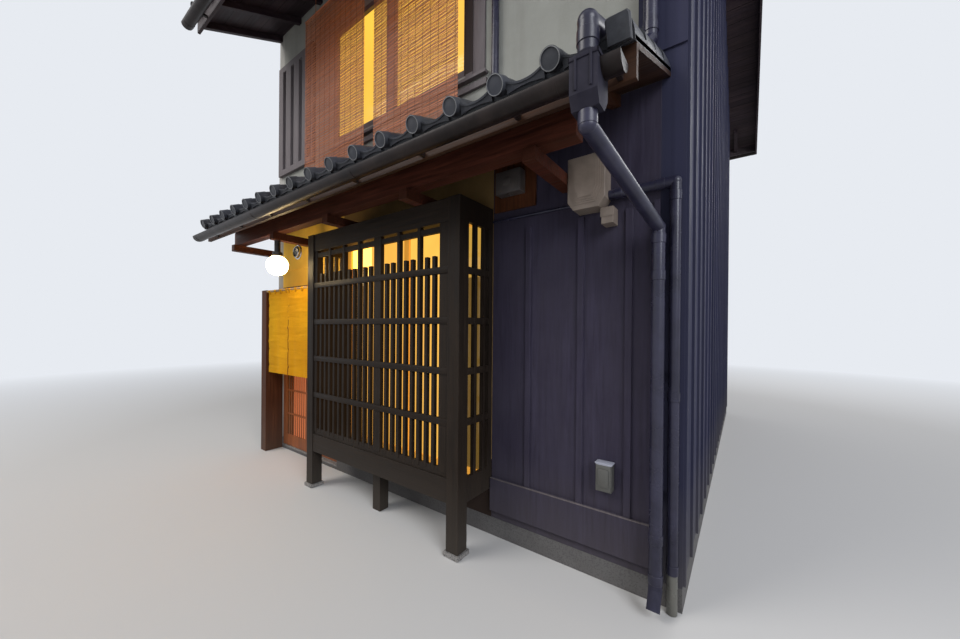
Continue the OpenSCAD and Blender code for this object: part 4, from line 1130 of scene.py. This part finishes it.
def norenPoint(x0, x1, s, t, seed):
    # s across and t down, both 0 to 1
    x = x0 + (x1 - x0) * s
    z = norenSet["top"] + (norenSet["low"] - norenSet["top"]) * t
    loose = 0.25 + 0.75 * t
    wave = math.sin(fullTurn * (s * 2.6 + seed)) * 0.62 + math.sin(fullTurn * (s * 4.3 + seed * 2.1)) * 0.28
    crease = 0.0
    for k, at in enumerate(norenSet["creases"]):
        tilt = 0.012 * math.sin(3.1 * s + k * 1.7 + seed * 5)
        sharp = math.exp(-((t - at + tilt) / norenSet["creaseWide"]) ** 2)
        crease += (1 if k % 2 else -1) * sharp * (0.55 + 0.45 * math.sin(5.3 * s + k * 2.2))
    hem = norenSet["hem"] if t > norenSet["hemFrom"] else 0.0
    y = norenSet["y"] + norenSet["fold"] * loose * wave + norenSet["creaseDeep"] * crease - hem
    return row(x, y, z)


tabs = bmesh.new()
stitch = bmesh.new()
across, down = norenSet["across"], norenSet["down"]
for name, (x0, x1), seed in zip(("noren_left", "noren_right"), norenSet["spans"], norenSet["seeds"]):
    bm = bmesh.new()
    bmesh.ops.create_grid(bm, x_segments=across, y_segments=down, size=0.5)
    for v in bm.verts:
        v.co = norenPoint(x0, x1, v.co.x + 0.5, 0.5 - v.co.y, seed)
    # the grid already faces the front
    finishMesh(bm, name, "house", linen, angle=80, closed=False)
    tabHalf = norenSet["tabWide"] / 2
    firstTab, lastTab = x0 + tabHalf + 0.004, x1 - tabHalf - 0.004
    loop = norenSet["rodR"] + norenSet["rodGap"]
    path = [(norenSet["y"] - norenSet["tabOff"], norenSet["top"] - norenSet["tabLong"])]
    for angle in range(-60, 241, 25):
        a = math.radians(angle)
        path.append((norenSet["y"] - loop * math.cos(a), norenSet["rodZ"] + loop * math.sin(a)))
    path.append((norenSet["y"] + norenSet["tabOff"], norenSet["top"] - norenSet["tabLong"]))
    for i in range(norenSet["tabs"]):
        x = firstTab + (lastTab - firstTab) * i / (norenSet["tabs"] - 1)
        verts = [tabs.verts.new(row(x - tabHalf, y, z)) for y, z in path]
        edges = [tabs.edges.new(pair) for pair in zip(verts, verts[1:])]
        swept = bmesh.ops.extrude_edge_only(tabs, edges=edges)["geom"]
        moved = [v for v in swept if isinstance(v, bmesh.types.BMVert)]
        bmesh.ops.translate(tabs, vec=(norenSet["tabWide"], 0, 0), verts=moved)
    for z in (norenSet["low"] + norenSet["hemStitches"], norenSet["top"] - norenSet["topStitches"]):
        t = (norenSet["top"] - z) / (norenSet["top"] - norenSet["low"])
        for i in range(norenSet["stitches"]):
            point = norenPoint(x0, x1, (i + 0.25) / norenSet["stitches"], t, seed)
            addBlock(stitch, point + Vector((0, -0.0012, -0.0006)),
                     point + Vector((norenSet["stitchLong"], -0.0002, 0.0006)))
tabPiece = finishMesh(tabs, "noren_tabs", "house", linen, angle=80)
tabPiece.modifiers.new("thickness", "SOLIDIFY").thickness = norenSet["tabThick"]
seamStep = norenSet["seamLong"] / norenSet["seamStitches"]
seamLeft, seamRight = norenSet["seamX"]
for k in range(norenSet["seamStitches"]):
    z1 = norenSet["top"] - k * seamStep
    addBlock(stitch, row(seamLeft, norenSet["y"] - norenSet["seamHalf"], z1 - seamStep + norenSet["seamGap"]),
             row(seamRight, norenSet["y"] + norenSet["seamHalf"], z1), 0.0005, 1)
stitchPiece = finishMesh(stitch, "noren_stitches", "house", linen, smooth=False)
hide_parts("noren")
print("noren made")

# deeper cross battens of the bay lattice

latticeSet = dict(
    right=-1.321, left=-2.980, levels=(0.875, 1.215, 1.555, 1.895), high=0.046, front=-0.384, back=-0.3535,
    sides=((-1.2505, -1.2235), (-3.0775, -3.0505)), sideFront=-0.337, sideBack=-0.041, edge=0.003)
battens = bmesh.new()
for z in latticeSet["levels"]:
    low, high = z - latticeSet["high"] / 2, z + latticeSet["high"] / 2
    addBlock(battens, row(latticeSet["left"], latticeSet["front"], low),
             row(latticeSet["right"], latticeSet["back"], high), latticeSet["edge"])
    for x0, x1 in latticeSet["sides"]:
        addBlock(battens, row(x0, latticeSet["sideFront"], low), row(x1, latticeSet["sideBack"], high),
                 latticeSet["edge"])
finishMesh(battens, "lattice_back_battens", "house", woods["darkTimberAlong"])

# sockets and clips on the pipes: place and radius of the pipe there

collarSet = dict(thick=0.004, wide=0.05, bite=0.0006, steps=28, spots=(
    ((-0.115, -0.088, 1.985), 0.033), ((-0.115, -0.088, 1.79), 0.033), ((-0.115, -0.088, 0.40), 0.033),
    ((-0.115, -0.088, 0.19), 0.033), ((-0.045, -0.029, 0.235), 0.027),
    ((-0.170, -0.052, 4.185), 0.038), ((-0.170, -0.052, 3.140), 0.038), ((-0.170, -0.960, 4.575), 0.038),
    ((-0.224, -0.870, 2.585), 0.038), ((-0.222, -0.868, 2.285), 0.033),
    ((-1.200, -0.0275, 3.095), 0.027), ((-1.200, -0.0275, 4.180), 0.027),
    ((-0.045, -0.029, 2.215), 0.027), ((-0.045, -0.029, 1.150), 0.027)))
levelCollars = dict(thick=0.0035, wide=0.045, radius=0.0264, spots=(
    (-0.118, -0.029, 2.290), (-0.335, -0.029, 2.290)))
collars = bmesh.new()
for spot, radius in collarSet["spots"]:
    addRing(collars, radius - collarSet["bite"], collarSet["wide"], collarSet["thick"], row(*spot), (0, 0, 1),
            steps=collarSet["steps"])
for spot in levelCollars["spots"]:
    addRing(collars, levelCollars["radius"], levelCollars["wide"], levelCollars["thick"], row(*spot),
            (1, 0, 0), steps=collarSet["steps"])
finishMesh(collars, "pipe_collars", "house", fittings["pipeSlate"])

# ribs and rim of the hopper head

hopperSet = dict(
    x0=-0.2745, x1=-0.1695, y0=-0.922, y1=-0.802, low=2.372, rimLow=2.484, high=2.500, ribs=(-0.251, -0.193),
    ribHalf=0.005, ribOut=0.006, ribEdge=0.0045, rimOut=0.004, rimIn=0.002, rimEdge=0.0018)
hopper = bmesh.new()
x0, x1, y0, y1 = hopperSet["x0"], hopperSet["x1"], hopperSet["y0"], hopperSet["y1"]
out, into, ribHalf = hopperSet["rimOut"], hopperSet["rimIn"], hopperSet["ribHalf"]
for x in hopperSet["ribs"]:
    addBlock(hopper, row(x - ribHalf, y0 - hopperSet["ribOut"], hopperSet["low"]),
             row(x + ribHalf, y0 + into, hopperSet["high"] - 0.003), hopperSet["ribEdge"], 3)
for low, high in (((x0 - out, y0 - out), (x1 + out, y0 + into)),
                  ((x1 - into, y0 - out), (x1 + out, y1 + out)),
                  ((x0 - out, y0 - out), (x0 + into, y1 + out))):
    addBlock(hopper, row(*low, hopperSet["rimLow"]), row(*high, hopperSet["high"]), hopperSet["rimEdge"])
finishMesh(hopper, "hopper_ribs", "house", fittings["hopperSlate"])

# flat boards: the cap strip on the skirting and the board beside the upper window

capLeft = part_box("panel_wall")[0].x - half["front"] + 0.006
boardSet = dict(
    skirting_cap=((capLeft, -0.0297, 0.4224), (-0.1515, -0.0143, 0.4268), 0.001),
    window_side_board=((-1.4105, -0.014, 3.418), (-1.302, 0.0, 4.860), 0.002))
for name, (low, high, edge) in boardSet.items():
    board = bmesh.new()
    addBlock(board, row(*low), row(*high), edge)
    finishMesh(board, name, "house", woods["paleBoards"])

# sleeves where lengths of gutter meet: height, depth and places of each gutter

gutterSet = dict(radius=0.0522, bite=0.0004, thick=0.0022, wide=0.06, steps=14, turn=132, start=24, runs=(
    (-0.850, 2.475, (-4.45, -3.1, -1.7, -0.31)), (-0.960, 4.7005, (-4.45, -3.0, -1.35, 0.36)),
    (6.440, 4.8895, (-4.45, -3.0, -1.35, 0.36))))
sleeves = bmesh.new()
startAt = math.radians(gutterSet["start"])
for y, z, places in gutterSet["runs"]:
    for x in places:
        addRing(sleeves, gutterSet["radius"] - gutterSet["bite"], gutterSet["wide"], gutterSet["thick"],
                row(x, y, z), (1, 0, 0), steps=gutterSet["steps"], turn=math.radians(gutterSet["turn"]),
                start=(0, -math.cos(startAt), -math.sin(startAt)))
finishMesh(sleeves, "gutter_sleeves", "house", fittings["gutterBrown"])

# round wall vent with slats

ventSet = dict(
    centre=(-4.017, 0.0, 2.400), slats=4, slatGap=0.0135, slatHalf=0.0016, slatBack=0.010, slatFront=0.028,
    inner=0.054, steps=40, profile=(
        (0.087, 0.0), (0.087, 0.005), (0.081, 0.0085), (0.072, 0.0085), (0.068, 0.030), (0.060, 0.036),
        (0.056, 0.033), (0.054, 0.008), (0.00001, 0.006)))
vent = bmesh.new()
ventAt = row(*ventSet["centre"])
addLathe(vent, ventSet["profile"], ventAt, (0, -1, 0), steps=ventSet["steps"])
for k in range(-ventSet["slats"] + 1, ventSet["slats"]):
    z = k * ventSet["slatGap"]
    w = math.sqrt(ventSet["inner"] ** 2 - z ** 2)
    addBlock(vent, ventAt + Vector((-w, -ventSet["slatFront"], z - ventSet["slatHalf"])),
             ventAt + Vector((w, -ventSet["slatBack"], z + ventSet["slatHalf"])), 0.0008, 1)
finishMesh(vent, "wall_vent", "house", fittings["ventSteel"])

# covers of the meter and the outlet box: stepped front plates, two screws and flat lids

coverSet = dict(
    x=-0.4975, z=2.210, middle=0.165, halfWide=0.1, halfHigh=0.135, front=-0.1185, plate=0.005, step=0.0035,
    insets=(0.0, 0.012, 0.024, 0.036), outline=(
        (-0.100, 0.106), (-0.100, 0.300), (0.100, 0.300), (0.100, 0.106), (0.062, 0.030), (-0.062, 0.030)),
    screws=((-0.088, 0.285), (0.088, 0.285)), screwRadius=0.006, screwHigh=0.003,
    lids=(((-0.418, -0.099, 2.150), (-0.342, -0.094, 2.2), 0.0015),
          ((-0.441, -0.0585, 0.560), (-0.358, -0.0545, 0.716), 0.002),
          ((-0.430, -0.066, 0.585), (-0.369, -0.058, 0.69), 0.004),
          ((-0.449, -0.060, 0.7165), (-0.350, -0.001, 0.7235), 0.0015)))
covers = bmesh.new()
for level, inset in enumerate(coverSet["insets"]):
    y = coverSet["front"] - level * coverSet["step"]
    wideShare, highShare = 1 - inset / coverSet["halfWide"], 1 - inset / coverSet["halfHigh"]
    middleZ = coverSet["z"] + coverSet["middle"]
    outline = [row(coverSet["x"] + u * wideShare, y, middleZ + (w - coverSet["middle"]) * highShare)
               for u, w in coverSet["outline"]]
    plate = covers.faces.new([covers.verts.new(point) for point in outline])
    swept = bmesh.ops.extrude_face_region(covers, geom=[plate], use_keep_orig=True)["geom"]
    moved = [v for v in swept if isinstance(v, bmesh.types.BMVert)]
    bmesh.ops.translate(covers, vec=(0, -coverSet["plate"], 0), verts=moved)
for u, w in coverSet["screws"]:
    at = row(coverSet["x"] + u, coverSet["front"] - coverSet["plate"], coverSet["z"] + w)
    addDome(covers, coverSet["screwRadius"], coverSet["screwHigh"], at, (0, -1, 0))
for low, high, edge in coverSet["lids"]:
    addBlock(covers, row(*low), row(*high), edge)
finishMesh(covers, "box_covers", "house", fittings["boxBeige"])

# the dark switch box on its board: body, lid, lever and gland

switchSet = dict(
    blocks=(((-1.1415, -0.0985, 2.4285), (-0.9485, -0.019, 2.5815), 0.004),
            ((-1.136, -0.1015, 2.434), (-0.954, -0.0975, 2.576), 0.0025),
            ((-1.075, -0.109, 2.48), (-1.015, -0.1005, 2.53), 0.004)),
    glandAt=(-1.045, -0.06, 2.4285), gland=((0.009, 0.0), (0.009, 0.012), (0.006, 0.014), (0.0001, 0.014)))
switch = bmesh.new()
for low, high, edge in switchSet["blocks"]:
    addBlock(switch, row(*low), row(*high), edge)
addLathe(switch, switchSet["gland"], row(*switchSet["glandAt"]), (0, 0, -1), steps=12)
finishMesh(switch, "switch_cover", "house", fittings["switchGrey"])

# screws along the joints of the side wall's sheets

screwSet = dict(
    first=(0.030, 0.30), apart=(0.318, 0.78), across=19, upward=7, radius=0.005, high=0.002, steps=8)
screws = bmesh.new()
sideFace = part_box("side_wall")[1].x - half["front"]
for i in range(screwSet["across"]):
    for k in range(screwSet["upward"]):
        y = screwSet["first"][0] + i * screwSet["apart"][0]
        z = screwSet["first"][1] + k * screwSet["apart"][1]
        addDome(screws, screwSet["radius"], screwSet["high"], row(sideFace, y, z), (1, 0, 0),
                steps=screwSet["steps"])
finishMesh(screws, "screw_heads", "house", fittings["screwPainted"])

# collar of the globe lamp with three small screws

lampSet = dict(
    centre=(-3.500, -0.478, 2.2155), radius=0.040, wide=0.012, thick=0.014, steps=32, screws=3,
    firstScrew=0.4, screwAt=0.054, screwRadius=0.004, screwHigh=0.006, screwSteps=8)
collar = bmesh.new()
lampAt = row(*lampSet["centre"])
addRing(collar, lampSet["radius"], lampSet["wide"], lampSet["thick"], lampAt, (0, 0, 1),
        steps=lampSet["steps"])
for a in circle(lampSet["screws"]):
    out = Vector((math.cos(a + lampSet["firstScrew"]), math.sin(a + lampSet["firstScrew"]), 0))
    addDome(collar, lampSet["screwRadius"], lampSet["screwHigh"], lampAt + out * lampSet["screwAt"], out,
            steps=lampSet["screwSteps"])
finishMesh(collar, "globe_collar", "house", fittings["lampMetal"])
print("fittings made")

# floor, light and camera

paleBackdrop = (0.80, 0.83, 0.88)
floorSet = dict(colour=(0.62, 0.61, 0.6), near=6.0, far=15.0, size=60.0, under=0.001)


def seenDirectly(tree):
    path = addNode(tree, "ShaderNodeLightPath").outputs
    seen = mathNode(tree, "MAXIMUM", path["Is Camera Ray"], path["Is Glossy Ray"])
    return mathNode(tree, "MAXIMUM", seen, path["Is Transmission Ray"])


def floorMaterial(name, s):
    # a plain floor that fades into the pale backdrop far from the house
    material, tree, shader, place = startMaterial(name)
    shader["Base Color"].default_value = (*s["colour"], 1.0)
    shader["Roughness"].default_value = 0.9
    shader["Specular IOR Level"].default_value = 0.1
    away = addNode(tree, "ShaderNodeVectorMath", {0: place}, operation="LENGTH").outputs["Value"]
    fade = times(tree, remap(tree, away, s["near"], s["far"]), seenDirectly(tree))
    backdrop = addNode(tree, "ShaderNodeEmission", {"Color": (*paleBackdrop, 1.0), "Strength": 1.0})
    surface = tree.nodes["Principled BSDF"].outputs["BSDF"]
    both = addNode(tree, "ShaderNodeMixShader", {0: fade, 1: surface, 2: backdrop.outputs["Emission"]})
    tree.links.new(both.outputs["Shader"], tree.nodes["Material Output"].inputs["Surface"])
    return material


def setUp(name, data, at):
    obj = bpy.data.objects.new(name, data)
    obj.location = at
    bpy.context.scene.collection.objects.link(obj)
    return obj


floorGrid = bmesh.new()
bmesh.ops.create_grid(floorGrid, x_segments=2, y_segments=2, size=floorSet["size"])
floorMesh = bpy.data.meshes.new("floor")
floorGrid.to_mesh(floorMesh)
floorGrid.free()
floorMesh.materials.append(floorMaterial("paleFloor", floorSet))
floor = setUp("floor", floorMesh, (0, 0, -floorSet["under"]))

world = bpy.data.worlds.new("studio")
bpy.context.scene.world = world
world.use_nodes = True
tree = world.node_tree
background = tree.nodes["Background"].inputs
background["Color"].default_value = (*paleBackdrop, 1.0)
tree.links.new(remap(tree, seenDirectly(tree), 0.0, 1.0, 0.45, 1.0), background["Strength"])

lightSet = {
    "key": dict(at=(-5.5, -11.0, 9.5), to=(0.2, -2.6, 2.4), size=7.0, power=760.0, colour=(1.0, 0.97, 0.93)),
    "fill": dict(at=(9.5, -7.5, 6.5), to=(1.8, -1.0, 2.6), size=6.0, power=700.0, colour=(0.92, 0.95, 1.0)),
    "back": dict(at=(5.0, 10.5, 9.0), to=(0.0, 2.0, 3.5), size=6.0, power=560.0, colour=(1.0, 1.0, 1.0)),
}
for lightName, s in lightSet.items():
    light = bpy.data.lights.new(lightName, "AREA")
    light.shape = "DISK"
    light.size = s["size"]
    light.energy = s["power"]
    light.color = s["colour"]
    obj = setUp(lightName, light, s["at"])
    obj.rotation_euler = (Vector(s["to"]) - Vector(s["at"])).to_track_quat("-Z", "Y").to_euler()

cameraSet = dict(
    at=(2.5008, -5.1492, 1.500), turn=(89.83383665, -0.46982341, 36.87119664), lens=13.560, sensor=36.0,
    shift=(0.00719, 0.01104), reach=200.0)
cameraData = bpy.data.cameras.new("camera")
cameraData.sensor_fit = "HORIZONTAL"
cameraData.sensor_width = cameraSet["sensor"]
cameraData.lens = cameraSet["lens"]
cameraData.shift_x, cameraData.shift_y = cameraSet["shift"]
cameraData.clip_end = cameraSet["reach"]
camera = setUp("camera", cameraData, cameraSet["at"])
camera.rotation_euler = [math.radians(v) for v in cameraSet["turn"]]
bpy.context.scene.camera = camera
bpy.context.scene.view_settings.view_transform = "Standard"
